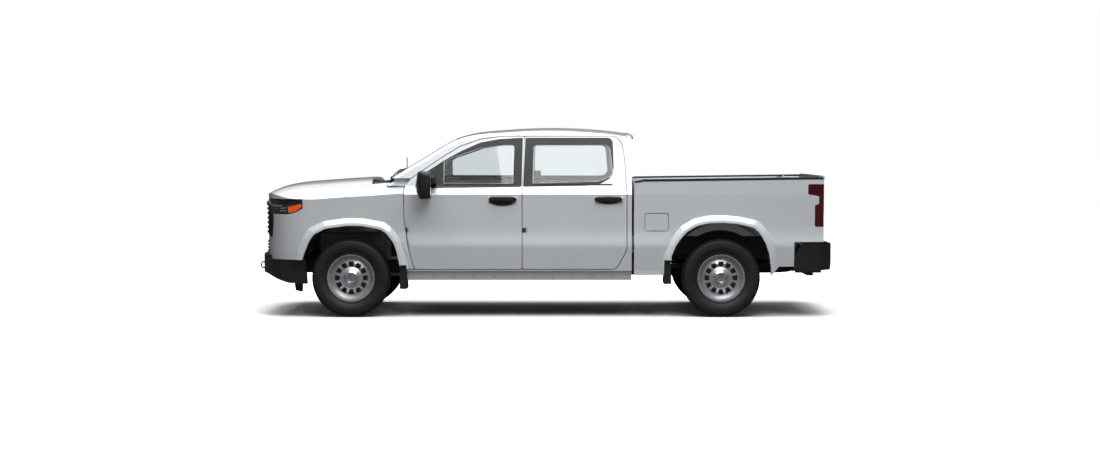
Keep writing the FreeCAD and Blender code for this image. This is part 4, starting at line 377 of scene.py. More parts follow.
def crossing(loop: list, middle: tuple, turn: float) -> tuple:
    """Where a ray from the middle leaves a closed outline."""
    du, dv = math.cos(turn), math.sin(turn)
    best = 0.0
    for a, b in zip(loop, loop[1:] + loop[:1]):
        eu, ev = b[0] - a[0], b[1] - a[1]
        cross = du * ev - dv * eu
        if abs(cross) < 1e-9:
            continue
        au, av = a[0] - middle[0], a[1] - middle[1]
        reach, share = (au * ev - av * eu) / cross, (au * dv - av * du) / cross
        if -1e-4 <= share <= 1.0001:
            best = max(best, reach)
    return middle[0] + du * best, middle[1] + dv * best


def ringed(outer: list, inner: list, length: float) -> tuple:
    """Two outlines round one middle, divided and cut by the same rays, so that they have as many points."""
    outer, inner = divided(outer, length), divided(inner, length)
    middle = middle_of(inner)
    turns = sorted({round(math.atan2(v - middle[1], u - middle[0]), 4) for u, v in outer + inner})
    return tuple([crossing(loop, middle, turn) for turn in turns] for loop in (outer, inner))


# Ways to draw a mesh

def drawn(draw: Callable, *sizes, **options) -> Mesh:
    """A new mesh with one shape drawn in it."""
    mesh = bmesh.new()
    draw(mesh, *sizes, **options)
    return mesh


def placed(ring: list, at: tuple, across: Vector, up: Vector = UP) -> list:
    """The points of an outline, put in space."""
    at = Vector(at)
    return [at + across * u + up * v for u, v in ring]


def seated(points: list, seat: Seating, height: float) -> list:
    """A closed row of points at a height over their seats."""
    row = [at + out * height for at, out in (seat(*point) for point in points)]
    return row + row[:1]


def strip(mesh: Mesh, rows: list) -> None:
    """Joins rows of points, each as long as the next, with quads."""
    made = [[mesh.verts.new(point) for point in row] for row in rows]
    for low, high in zip(made, made[1:]):
        for i in range(len(low) - 1):
            corners = [low[i], low[i + 1], high[i + 1], high[i]]
            if len({tuple(round(c, 7) for c in v.co) for v in corners}) > 2:
                mesh.faces.new(corners)


def loft(mesh: Mesh, sections: list) -> None:
    """A closed solid through rings of as many points each."""
    made = [[mesh.verts.new(point) for point in ring] for ring in sections]
    count = len(made[0])
    for low, high in zip(made, made[1:]):
        for i in range(count):
            j = (i + 1) % count
            mesh.faces.new([low[i], low[j], high[j], high[i]])
    mesh.faces.new(made[0][::-1])
    mesh.faces.new(made[-1])


def block(mesh: Mesh, low: Vector, high: Vector) -> None:
    """A block between two corners."""
    ring = [(low.x, low.y), (high.x, low.y), (high.x, high.y), (low.x, high.y)]
    loft(mesh, [[Vector((x, y, z)) for x, y in ring] for z in (low.z, high.z)])


def lathe(mesh: Mesh, profile: list, centre: Vector, way: int, count: int = 96) -> None:
    """Turns (along, radius) points about a Y axis; a closed profile ends where it starts."""
    strip(mesh, [[centre + Vector((radius * math.sin(t), way * along, radius * math.cos(t)))
                  for along, radius in profile] for t in angles(count, True)])


def stud(mesh: Mesh, at: Vector, radius: float, rise: float) -> None:
    """A small domed head that faces +X."""
    strip(mesh, [[at + Vector((reach, radius * share * math.cos(t), radius * share * math.sin(t)))
                  for t in angles(16, True)]
                 for reach, share in ((-PAD_FOOT, 1.0), (rise * 0.5, 1.0), (rise, 0.7), (rise, 0.0))])


def rod(mesh: Mesh, points: list, radius: float, count: int = 10) -> None:
    """A round rod through points, closed at both ends."""
    path, rows = [Vector(point) for point in points], []
    for i, point in enumerate(path):
        along = (path[min(i + 1, len(path) - 1)] - path[max(i - 1, 0)]).normalized()
        across = along.orthogonal() if i == 0 else across - along * across.dot(along)
        across.normalize()
        up = along.cross(across)
        rows.append([point + (across * math.cos(t) + up * math.sin(t)) * radius for t in angles(count, True)])
    strip(mesh, [[path[0]] * (count + 1)] + rows + [[path[-1]] * (count + 1)])


def patch(mesh: Mesh, loop: list, seat: Seating, rise: float, rings: int = 6) -> None:
    """A raised pad on a surface.

    Args:
        mesh: what the faces are added to.
        loop: closed outline in the surface's two coordinates.
        seat: function from those coordinates to (point, outward direction).
        rise: how far the pad stands out of the surface.
        rings: how many rings of faces it has.
    """
    middle = middle_of(loop)
    shares = [1 - ring / rings for ring in range(rings + 1)]
    shares[1] = 1 - 0.15 / rings
    strip(mesh, [seated([between(middle, point, share) for point in loop], seat, rise if ring else -PAD_FOOT)
                 for ring, share in enumerate(shares)])


def band(mesh: Mesh, outer: list, inner: list, seat: Seating, rise: float, rings: int = 3) -> None:
    """A flat frame on a surface between two outlines that have as many points as each other."""
    steps = [(-BAND_FOOT, 0.0), *((rise, k / rings) for k in range(rings + 1)), (-BAND_FOOT, 1.0)]
    strip(mesh, [seated([between(a, b, share) for a, b in zip(outer, inner)], seat, height)
                 for height, share in steps])


# Pieces

class Row:
    """A Geometry Nodes tree that repeats its piece along a step and about a turn."""

    SIZES = {"Count": "NodeSocketInt", "Centre": "NodeSocketVector", "Step": "NodeSocketVector",
             "Turn": "NodeSocketVector", "Finish": "NodeSocketMaterial"}

    def __init__(self) -> None:
        tree = self.tree = bpy.data.node_groups.new("repeat_piece", "GeometryNodeTree")
        make = tree.interface.new_socket
        make("Geometry", in_out="INPUT", socket_type="NodeSocketGeometry")
        self.sockets = {name: make(name, in_out="INPUT", socket_type=kind).identifier
                        for name, kind in self.SIZES.items()}
        make("Geometry", in_out="OUTPUT", socket_type="NodeSocketGeometry")
        given = add_node(tree, "NodeGroupInput").outputs
        index = add_node(tree, "GeometryNodeInputIndex").outputs["Index"]
        line = add_node(tree, "GeometryNodeMeshLine", {
            "Count": given["Count"], "Start Location": given["Centre"], "Offset": given["Step"]})
        turn = add_node(tree, "ShaderNodeVectorMath", {0: given["Turn"], "Scale": index}, operation="SCALE")
        copies = add_node(tree, "GeometryNodeInstanceOnPoints", {
            "Points": line.outputs["Mesh"], "Instance": given["Geometry"], "Rotation": turn.outputs["Vector"]})
        real = add_node(tree, "GeometryNodeRealizeInstances", {"Geometry": copies.outputs["Instances"]})
        dress = add_node(tree, "GeometryNodeSetMaterial", {"Geometry": real.outputs["Geometry"],
                                                           "Material": given["Finish"]})
        add_node(tree, "NodeGroupOutput", {"Geometry": dress.outputs["Geometry"]})

    def repeat(self, piece: bpy.types.Object, finish: bpy.types.Material, count: int, centre=(0, 0, 0),
               step=(0, 0, 0), turn=(0, 0, 0)) -> None:
        """Puts the tree on a piece, whose mesh is drawn about the first centre.

        Args:
            piece: what is repeated.
            finish: its material.
            count: how many copies there are.
            centre: place of the first copy.
            step: from each copy to the next.
            turn: added rotation of each copy about its own place.
        """
        modifier = piece.modifiers.new("repeat", "NODES")
        modifier.node_group = self.tree
        values = {"Count": count, "Centre": centre, "Step": step, "Turn": turn, "Finish": finish}
        for name, value in values.items():
            modifier[self.sockets[name]] = value


class Workshop:
    """Turns drawn meshes into finished pieces that ride on the truck's bodies."""

    def __init__(self, frame: dict) -> None:
        self.frame = frame
        self.palette = Palette()
        self.row = Row()

    def skin(self, *names: str) -> Skin:
        """The skin of some nodes."""
        return Skin(self.frame, *names)

    def piece(self, name: str, body: str, finish: str, mesh: Mesh, bevel: float = 0.0,
              repeat: dict | None = None, smooth: float = 35.0) -> bpy.types.Object:
        """Finishes a mesh as one piece.

        Args:
            name: the piece's name.
            body: the body that it rides on.
            finish: name of its finish.
            mesh: what was drawn; it is used up.
            bevel: width of its rounded edges.
            repeat: what Row.repeat takes, for a repeated piece.
            smooth: angle in degrees under which faces shade smoothly.

        Returns:
            The finished object.
        """
        bmesh.ops.remove_doubles(mesh, verts=mesh.verts, dist=1e-6)
        bmesh.ops.recalc_face_normals(mesh, faces=mesh.faces)
        data = bpy.data.meshes.new(name)
        mesh.to_mesh(data)
        mesh.free()
        made = bpy.data.objects.new(name, data)
        bpy.context.scene.collection.objects.link(made)
        data.materials.append(self.palette[finish])
        if bevel:
            edge = made.modifiers.new("edge", "BEVEL")
            edge.width, edge.segments, edge.limit_method = bevel, 2, "ANGLE"
        if repeat:
            self.row.repeat(made, self.palette[finish], **repeat)
        if made.modifiers:
            bpy.context.view_layer.update()
            ready = made.evaluated_get(bpy.context.evaluated_depsgraph_get())
            made.data = bpy.data.meshes.new_from_object(ready)
            made.data.name = name
            made.modifiers.clear()
        for face in made.data.polygons:
            face.use_smooth = True
        made.data.set_sharp_from_angle(angle=math.radians(smooth))
        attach(made, body)
        log.info("%s rides on %s with %d faces", name, body, len(made.data.polygons))
        return made

    def dress_nodes(self) -> None:
        """Gives every CAD node the finish of its material slot."""
        slots = {row["node"]: row["material_slot"] for row in self.frame["record"]["subparts"]}
        for name, node in self.frame["nodes"].items():
            node.data.materials.clear()
            node.data.materials.append(self.palette[slots[name]])
        log.info("%d nodes dressed", len(slots))


# Sub-assemblies

@dataclass
class Wheels:
    """Road tyres with blocks and grooves, and the trim of the steel wheels."""

    tyre_radius: float = 0.395
    rim_radius: float = 0.240
    width: float = 0.258
    groove: float = 0.009
    root: float = 0.003
    blocks: int = 58
    block_share: float = 0.80
    block_crown: float = 0.0004
    sipe_share: float = 0.02
    shoulder_start: float = 0.75
    shoulder_run: float = 0.21
    shoulder_drop: float = 0.006
    cap_radius: float = 0.076
    cap_rise: float = 0.020
    valve_radius: float = 0.0045
    valve_out: float = 0.219
    ray_start: float = 0.5
    # Shares of half the width, with heights over the rim and then depths under the grooves
    sidewall: tuple = ((0.72, 0.0), (0.80, 0.006), (0.84, 0.018), (0.83, 0.022), (0.90, 0.034),
                       (0.985, 0.062), (1.0, 0.080), (0.995, 0.0815), (0.995, 0.084), (0.99, 0.105),
                       (0.975, 0.107), (0.965, 0.125))
    shoulder: tuple = ((0.93, 0.012), (0.86, 0.002), (0.70, 0.0))
    # The valve's stem, backwards and outwards from the rim
    stem: tuple = ((0.0, -0.012), (-0.004, 0.02), (-0.008, 0.034))
    # Each tread row's start and end as shares of half the width, and its skew and shift in block pitches
    rows: tuple = ((-0.96, -0.62, 0.10, 0.0), (-0.55, -0.20, -0.24, 0.5), (-0.13, 0.13, 0.16, 0.2),
                   (0.20, 0.55, -0.24, 0.5), (0.62, 0.96, 0.10, 0.0))
    # The cap's flange, as distances from its seat and its radius, and its dish, as shares of rise and radius
    cap_flange: tuple = ((-0.006, 0.004), (0.002, 0.004), (0.006, -0.002))
    cap_dish: tuple = ((0.75, 0.80), (1.0, 0.72), (0.9, 0.55), (0.82, 0.52), (0.86, 0.3), (0.87, 0.0))

    def build(self, shop: Workshop) -> None:
        """Dresses all four wheels."""
        for axle in AXLES:
            for side, way in SIDES.items():
                place = f"{axle}_{side}"
                low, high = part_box(f"tyre_{place}")
                self.tyre(shop, place, (low + high) / 2, way)
                self.cap(shop, place, way)

    def tyre(self, shop: Workshop, place: str, centre: Vector, way: int) -> None:
        """A carcass with side ribs, and its tread blocks in one repeated row."""
        half, outer = self.width / 2, self.tyre_radius - self.groove
        side = [(share * half, self.rim_radius + height) for share, height in self.sidewall]
        side += [(share * half, outer - depth) for share, depth in self.shoulder]
        profile = [(-along, radius) for along, radius in side] + side[::-1]
        body = shop.piece(f"tyre_carcass_{place}", f"wheel_{place}", "tyre",
                          drawn(lathe, profile + profile[:1], centre, way), smooth=28)
        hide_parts(f"tyre_{place}")
        pitch = TURN / self.blocks
        mesh = bmesh.new()
        arc = pitch * self.block_share
        for start, end, skew, shift in self.rows:
            self.tread_block(mesh, (start * half, end * half), skew * pitch, shift * pitch, arc)
        tread = shop.piece(f"tread_{place}", f"wheel_{place}", "tyre", mesh, smooth=20,
                           repeat={"count": self.blocks, "centre": centre, "turn": (0, pitch, 0)})

    def tread_block(self, mesh: Mesh, span: tuple, skew: float, turn: float, arc: float) -> None:
        """One block of rubber about the wheel's centre, cut by a sipe; its sizes round the tyre are angles."""
        root, half = self.tyre_radius - self.groove - self.root, self.width / 2
        for part in (-1, 1):
            sections = []
            for share, along in enumerate(span):
                past = max(0.0, (abs(along) / half - self.shoulder_start) / self.shoulder_run)
                crest = self.tyre_radius - self.shoulder_drop * past ** 2
                near, far = (turn + skew * (share - 0.5) + part * reach * arc
                             for reach in (self.sipe_share, 0.5))
                sections.append([Vector((radius * math.sin(t), along, radius * math.cos(t))) for t, radius in
                                 ((near, root), (near, crest), (far, crest - self.block_crown), (far, root))])
            loft(mesh, sections)

    def cap(self, shop: Workshop, place: str, way: int) -> None:
        """A pressed centre cap and a valve."""
        low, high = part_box(f"rim_{place}")
        centre, skin = (low + high) / 2, shop.skin(f"rim_{place}")

        def on_rim(aft: float) -> Vector:
            """The rim's outer face behind its middle."""
            return skin.cast(centre + Vector((aft, way * self.ray_start, 0)), (0, -way, 0))[0]

        radius = self.cap_radius
        start = abs(on_rim(radius - 0.01).y - centre.y)
        profile = [(start + out, radius + wider) for out, wider in self.cap_flange]
        profile += [(start + self.cap_rise * rise, radius * share) for rise, share in self.cap_dish]
        shop.piece(f"centre_cap_{place}", f"wheel_{place}", "cap_steel", drawn(lathe, profile, centre, way, 48),
                   smooth=30)
        seat = on_rim(self.valve_out)
        stem = [seat + Vector((x, way * y, 0)) for x, y in self.stem]
        shop.piece(f"valve_{place}", f"wheel_{place}", "black_plastic", drawn(rod, stem, self.valve_radius))


@dataclass
class Bar:
    """A bar across the nose that follows its surface and tapers to its ends."""

    half: float
    z: float
    height: float
    rise: float
    foot: float = 0.006
    steps: int = 32

    def draw(self, mesh: Mesh, skin: Skin) -> None:
        """Draws it on a skin."""
        sections = []
        for k in range(self.steps + 1):
            y = -self.half + 2 * self.half * k / self.steps
            at, out = skin.front(y, self.z)
            taper = min(1.0, 0.35 + (self.half - abs(y)) / 0.05)
            tall, rise = self.height / 2 * taper, self.rise * taper
            ring = [(-self.foot, -tall), (rise, -tall * 0.75), (rise, tall * 0.55), (-self.foot, tall)]
            sections.append(placed(ring, at, Vector((out.x, out.y, 0)).normalized()))
        loft(mesh, sections)


@dataclass
class Nose:
    """Grille, lamps, cowl, wipers and the trims of the bumper."""

    slats: int = 6
    slat_step: float = 0.048
    slat: Bar = field(default_factory=lambda: Bar(half=0.735, z=0.845, height=0.020, rise=0.018))
    top_bar: Bar = field(default_factory=lambda: Bar(half=0.745, z=1.142, height=0.052, rise=0.022))
    uprights: tuple = (-1, -0.6, -0.2, 0.2, 0.6, 1)
    upright_half: float = 0.006
    intake_slats: int = 4
    intake_step: float = 0.031
    intake_bar: Bar = field(default_factory=lambda: Bar(half=0.51, z=0.650, height=0.012, rise=0.016))
    # What is seen of each lamp from the side: name, finish, rise and outline
    side_lamps: tuple = (
        ("marker", "lamp_amber", 0.003, ((-2.612, 1.112), (-2.470, 1.146), (-2.458, 1.120), (-2.520, 1.068),
                                         (-2.600, 1.050))),
        ("strip_upper", "lamp_bright", 0.003,
         ((-2.690, 1.104), (-2.628, 1.112), (-2.630, 1.098), (-2.690, 1.090))),
        ("strip_lower", "lamp_bright", 0.003,
         ((-2.690, 1.078), (-2.628, 1.084), (-2.630, 1.070), (-2.690, 1.064))),
        ("brow", "satin_black", 0.004, ((-2.800, 1.145), (-2.456, 1.156), (-2.452, 1.184), (-2.800, 1.184))))
    # What is seen of it from ahead: reach across, reach in height and finish
    front_lamps: tuple = (((0.63, 0.90), (1.118, 1.132), "lamp_bright"),
                          ((0.64, 0.74), (1.056, 1.104), "dark_glass"),
                          ((0.76, 0.85), (1.056, 1.104), "dark_glass"))
    intake: tuple = ((-0.52, 0.625), (0.52, 0.625), (0.58, 0.765), (-0.58, 0.765))
    hook_at: tuple = (0.44, 0.50)
    hook_radius: float = 0.008
    hook: tuple = ((0.02, 0.03), (-0.022, 0.028), (-0.034, 0), (-0.022, -0.028), (0.02, -0.03))
    tab: tuple = ((-2.556, 0.345), (-2.470, 0.345), (-2.474, 0.245), (-2.544, 0.262))
    tab_reach: tuple = (0.80, 0.84)
    louvres: int = 47
    louvre_step: float = 0.025
    louvre_at: tuple = (-1.62, -0.58)
    louvre: tuple = (0.055, 0.004)
    # Each wiper's name, and where its pivot and its blade's ends are across the truck
    blades: tuple = (("left", -0.60, -0.66, -0.06), ("right", 0.02, -0.02, 0.58))
    blade_z: tuple = (1.452, 1.472)
    blade_rise: float = 0.016
    blade_radius: float = 0.007
    arm_radius: float = 0.006
    boss_radius: float = 0.013

    def build(self, shop: Workshop) -> None:
        """Builds everything ahead of the doors."""
        self.grille(shop)
        self.lamps(shop)
        self.bumper(shop)
        self.cowl(shop)
        self.wipers(shop)

    def grille(self, shop: Workshop) -> None:
        """Slats, uprights between them, and the wide bar above."""
        skin = shop.skin("grille")
        shop.piece("grille_slats", "truck", "black_plastic",
                   drawn(self.slat.draw, skin), repeat={"count": self.slats, "step": (0, 0, self.slat_step)})
        shop.piece("grille_top_bar", "truck", "gloss_black", drawn(self.top_bar.draw, skin))
        low, high = self.slat.z - 0.03, self.slat.z + self.slat_step * self.slats - 0.02
        mesh, half = bmesh.new(), self.upright_half
        for share in self.uprights:
            y = share * self.slat.half * 0.9
            x = skin.front(y, 0.95)[0].x
            block(mesh, Vector((x - half, y - half, low)), Vector((x + 0.01, y + half, high)))
        shop.piece("grille_uprights", "truck", "black_plastic", mesh)

    def lamps(self, shop: Workshop) -> None:
        """Marker, running strips and beam units on the clear covers."""
        skin = shop.skin("head_lamps")
        for side, way in SIDES.items():
            for name, finish, rise, outline in self.side_lamps:
                loop = divided(rounded_loop(outline, 0.006), 0.02)
                shop.piece(f"lamp_{name}_{side}", "truck", finish, drawn(patch, loop, skin.side(way), rise, 3))
            for k, (across, up, finish) in enumerate(self.front_lamps):
                loop = divided(plate(across, up, 0.012), 0.02)
                shop.piece(f"lamp_unit_{k}_{side}", "truck", finish,
                           drawn(patch, loop, lambda y, z: skin.front(way * y, z), 0.004, 3))

    def bumper(self, shop: Workshop) -> None:
        """An intake with slats, its two hooks, and the tabs below."""
        skin, low = shop.skin("front_fascia", "grille"), shop.skin("front_bumper")
        shop.piece("intake", "truck", "black_plastic",
                   drawn(patch, divided(rounded_loop(self.intake, 0.03), 0.05), skin.front, 0.004, 5))
        shop.piece("intake_slats", "truck", "black_plastic", drawn(self.intake_bar.draw, skin),
                   repeat={"count": self.intake_slats, "step": (0, 0, self.intake_step)})
        for side, way in SIDES.items():
            at = low.front(way * self.hook_at[0], self.hook_at[1])[0]
            shop.piece(f"tow_hook_{side}", "truck", "chassis",
                       drawn(rod, placed(self.hook, at, AFT), self.hook_radius))
            ring = rounded_loop(self.tab, 0.008)
            shop.piece(f"air_tab_{side}", "truck", "black_plastic",
                       drawn(loft, [placed(ring, (0, way * y, 0), AFT) for y in self.tab_reach]))

    def cowl(self, shop: Workshop) -> None:
        """Louvres across the black panel below the windscreen."""
        at = shop.skin("cowl").top(*self.louvre_at)[0]
        long, thick = self.louvre
        shop.piece("cowl_louvres", "truck", "black_plastic",
                   drawn(block, at + Vector((-long, -thick, -thick)), at + Vector((long, thick, 0.006))),
                   bevel=0.001, repeat={"count": self.louvres, "step": (0, self.louvre_step, 0)})

    def wipers(self, shop: Workshop) -> None:
        """Two arms with blades, parked along the foot of the windscreen."""
        skin = shop.skin("windows_fixed", "cab_shell")

        def over(y: float, z: float, rise: float) -> Vector:
            """A point above the windscreen."""
            at, out = skin.front(y, z)
            return at + out * rise

        for name, pivot, start, end in self.blades:
            middle = (start + end) / 2
            arm = [over(pivot, 1.395, 0.012), over(pivot + 0.06, 1.425, 0.030),
                   over(middle - 0.05, 1.458, 0.034), over(middle, 1.464, 0.026)]
            ends = ((start, self.blade_z[0]), (end, self.blade_z[1]))
            blade = [over(*between(*ends, k / 10), self.blade_rise) for k in range(11)]
            mesh = drawn(rod, blade, self.blade_radius, 8)
            rod(mesh, arm, self.arm_radius, 8)
            rod(mesh, [arm[0] - UP * 0.02, arm[0] + UP * 0.012], self.boss_radius, 12)
            shop.piece(f"wiper_{name}", "truck", "black_plastic", mesh)


@dataclass
class CabTrim:
    """Borders of the fixed glass, the roof's lip, the high brake lamp, the aerial and black ovals of painted
    shade for the sill's small holes.
    """

    border: float = 0.060
    moulding: float = 0.085
    lip_half: float = 0.66
    lip_reach: float = 0.030
    lamp: tuple = ((-0.17, 0.17), (1.770, 1.800))
    lamp_rise: float = 0.012
    aerial: tuple = (-1.530, 0.905)
    mast_radius: float = 0.0046
    sleeve_radius: float = 0.013
    # Painted shade: black ovals standing in for the dark of small holes along each sill
    holes: int = 10
    hole_step: float = 0.199
    hole_at: tuple = (-1.12, 0.405)
    hole_half: tuple = (0.009, 0.004)
    hole_shade_rise: float = 0.0015

    def build(self, shop: Workshop) -> None:
        """Dresses the outside of the cab."""
        glass, shell = shop.skin("windows_fixed"), shop.skin("cab_shell")
        ahead, behind = ([p for p in glass.points if p.x * way > 0] for way in (-1, 1))
        self.border_pair(shop, "screen", ahead, glass.front, shell.front, self.moulding)
        self.border_pair(shop, "back", behind, glass.rear, shell.rear, self.border * 0.5)
        self.roof(shop, shell)
        self.sills(shop, shell)

    def border_pair(self, shop: Workshop, name: str, points: list, on_glass: Seating, on_shell: Seating,
                    moulding: float) -> None:
        """Black edges on one fixed pane, and on the skin beside it."""
        edge = hull_of(points, 1, 2)
        wide = 1 + moulding / max(y for y, z in edge)
        frit = (grown(edge, -0.002), grown(edge, -self.border))
        seal = ([(y * wide, z) for y, z in grown(edge, 0.010)], grown(edge, 0.002))
        for part, seat, loops, finish in (("frit", on_glass, frit, "gloss_black"),
                                          ("seal", on_shell, seal, "satin_black")):
            shop.piece(f"{name}_{part}", "truck", finish, drawn(band, *ringed(*loops, 0.04), seat, 0.003, 6))

    def roof(self, shop: Workshop, shell: Skin) -> None:
        """A painted lip over the back window with the high brake lamp under it, and the aerial."""
        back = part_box("cab_shell")[1].x
        sections = []
        for k in range(25):
            y = -self.lip_half + 2 * self.lip_half * k / 24
            top = shell.top(back - 0.06, y)[0].z
            taper = min(1.0, 0.2 + (self.lip_half - abs(y)) / 0.10)
            tip = back + self.lip_reach * taper
            ring = [(back - 0.075, top - 0.004), (back - 0.02, top + 0.003), (tip, top - 0.020),
                    (tip, top - 0.038), (back - 0.004, top - 0.070 * taper - 0.005),
                    (back - 0.075, top - 0.02)]
            sections.append(placed(ring, (0, y, 0), AFT))
        shop.piece("roof_lip", "truck", "paint", drawn(loft, sections), smooth=50)
        loop = divided(plate(*self.lamp, 0.012), 0.03)
        shop.piece("high_brake_lamp", "truck", "lamp_red", drawn(patch, loop, shell.rear, self.lamp_rise, 3))
        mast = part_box("fender_right")[1].z
        mesh = drawn(rod, [(*self.aerial, z) for z in (1.34, 1.60, mast)], self.mast_radius)
        rod(mesh, [(*self.aerial, z) for z in (1.30, 1.335, 1.352)], self.sleeve_radius, 16)
        shop.piece("aerial_sleeve", "truck", "black_plastic", mesh)

    def sills(self, shop: Workshop, shell: Skin) -> None:
        """A row of black ovals along each sill, painted shade standing in for its small holes."""
        for side, way in SIDES.items():
            seat = flat_side(shell.side(way)(*self.hole_at)[0].y, way)
            shop.piece(f"sill_plugs_{side}", "truck", "black_plastic",
                       drawn(patch, oval(self.hole_at, self.hole_half, 14), seat, self.hole_shade_rise, 2),
                       repeat={"count": self.holes, "step": (self.hole_step, 0, 0)})


@dataclass
class SideWindows:
    """Black frames round the side windows, and the seals along their feet."""

    rise: float = 0.0025
    seal: float = 0.010
    frames: tuple = (
        ("front", ((-1.318, 1.304), (-1.300, 1.392), (-1.247, 1.440), (-1.033, 1.580), (-0.859, 1.677),
                   (-0.664, 1.764), (-0.470, 1.800), (-0.229, 1.814), (-0.243, 1.316))),
        ("rear", ((-0.227, 1.318), (-0.202, 1.814), (0.650, 1.814), (0.684, 1.780), (0.692, 1.500),
                  (0.655, 1.405), (0.560, 1.350), (0.400, 1.330))))

    def build(self, shop: Workshop) -> None:
        """Makes one frame and one seal for each door."""
        for side, way in SIDES.items():
            for axle, frame in self.frames:
                place = f"{axle}_{side}"
                seat = shop.skin(f"door_{place}").side(way)
                inner = grown(hull_of(shop.skin(f"glass_{place}").points, 0, 2), 0.004)
                loops = ringed(rounded_loop(frame, 0.02), inner, 0.05)
                shop.piece(f"window_frame_{place}", f"door_{place}", "satin_black",
                           drawn(band, *loops, seat, self.rise))
                low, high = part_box(f"glass_{place}")
                feet = [seat(low.x + (high.x - low.x) * k / 12, low.z - self.seal) for k in range(13)]
                shop.piece(f"belt_seal_{place}", f"door_{place}", "black_plastic",
                           drawn(rod, [at + out * self.seal * 0.35 for at, out in feet], self.seal * 0.6))


@dataclass
class Doors:
    """Handles, locks and inner cards of the four doors."""

    pad_height: float = 0.086
    pad_length: float = 0.278
    pad_rise: float = 0.007
    grip_height: float = 0.052
    grip_rise: float = 0.016
    grip_z: float = 1.193
    # Each handle's middle: how far ahead of the door's rear edge, and how high
    handles: tuple = (("front", 0.215, 1.170), ("rear", 0.183, 1.187))
    # The grip's sections: shares of half its length, and of its height
    grip: tuple = ((-0.98, 0.42), (-0.94, 0.8), (-0.7, 1.0), (0.55, 1.0), (0.80, 0.9), (0.97, 0.72), (1.0, 0.4))
    # The lock's profile: height over the door's face, and radius
    lock: tuple = ((0, 0.011), (0.009, 0.011), (0.0105, 0.008), (0.0105, 0.0))
    card_inset: float = 0.05
    card_wall: float = 0.004
    card_low: float = 0.63
    card_bend: float = 0.80
    card_top: float = 1.30
    rest_z: float = 0.96
    rest_half: float = 0.27
    rest: tuple = ((-1, 0.5), (-0.92, 0.9), (-0.4, 1.0), (0.5, 1.0), (0.93, 0.8), (1, 0.4))

    def build(self, shop: Workshop) -> None:
        """Dresses every door."""
        for side, way in SIDES.items():
            for axle, ahead, z in self.handles:
                door = f"door_{axle}_{side}"
                skin = shop.skin(door)
                self.handle(shop, skin, door, way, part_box(door)[1].x - ahead, z)
                self.card(shop, skin, door, way)

    def handle(self, shop: Workshop, skin: Skin, door: str, way: int, x: float, z: float) -> None:
        """A black pad with a grip over the door's own block, and a lock on a front door."""
        low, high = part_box(door)
        half_x, half_z = self.pad_length / 2, self.pad_height / 2
        loop = [(x + half_x * math.cos(t) * (1 - 0.10 * math.sin(2 * t) ** 2),
                 z + half_z * math.sin(t) * (1.0 if math.sin(t) < 0 else 0.85)) for t in angles(40)]
        base = skin.side(way)(x - half_x, z - half_z)[0].y
        shop.piece(f"handle_pad_{door}", door, "black_plastic",
                   drawn(patch, loop, flat_side(base, way), self.pad_rise, 4))
        reach, inner = max(abs(low.y), abs(high.y)) - 0.012, abs(base) - 0.01
        sections = []
        for share, height in self.grip:
            tall, out = self.grip_height / 2 * height, reach + self.grip_rise * height
            ring = plate((inner, out), (self.grip_z - tall, self.grip_z + tall), 0.010)
            sections.append(placed(ring, (x + half_x * 1.03 * share, 0, 0), RIGHT * way))
        shop.piece(f"handle_grip_{door}", door, "black_plastic", drawn(loft, sections))
        if "front" in door:
            profile = [(abs(base) + rise, radius) for rise, radius in self.lock]
            shop.piece(f"lock_{door}", door, "cap_steel",
                       drawn(lathe, profile, Vector((x + half_x * 0.82, 0, z - 0.012)), way, 24))

    def card(self, shop: Workshop, skin: Skin, door: str, way: int) -> None:
        """The moulded card inside the door, with an arm rest."""
        low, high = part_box(door)
        x0, x1 = low.x + self.card_inset * 2.4, high.x - self.card_inset * 1.3
        foot = x1 - (0.10 if "rear" in door else 0.0)
        loop = rounded_loop([(x0, self.card_low), (foot, self.card_low), (x1, self.card_bend),
                             (x1, self.card_top), (x0, self.card_top)], 0.05)

        def seat(x: float, z: float) -> tuple:
            """The door's inner face."""
            return skin.cast((x, 0, z), (0, way, 0))

        shop.piece(f"card_{door}", door, "cabin_plastic",
                   drawn(patch, divided(loop, 0.06), seat, self.card_wall, 5))
        middle = (x0 + x1) / 2
        inner = seat(middle, self.rest_z)[0].y + way * 0.003
        sections = []
        for share, size in self.rest:
            ring = rounded_loop([(0, -0.035 * size), (0.055 * size, -0.02 * size), (0.058 * size, 0.022 * size),
                                 (0, 0.03 * size)], 0.012)
            sections.append(placed(ring, (middle + share * self.rest_half, inner, self.rest_z), RIGHT * -way))
        shop.piece(f"arm_rest_{door}", door, "cabin_plastic", drawn(loft, sections))


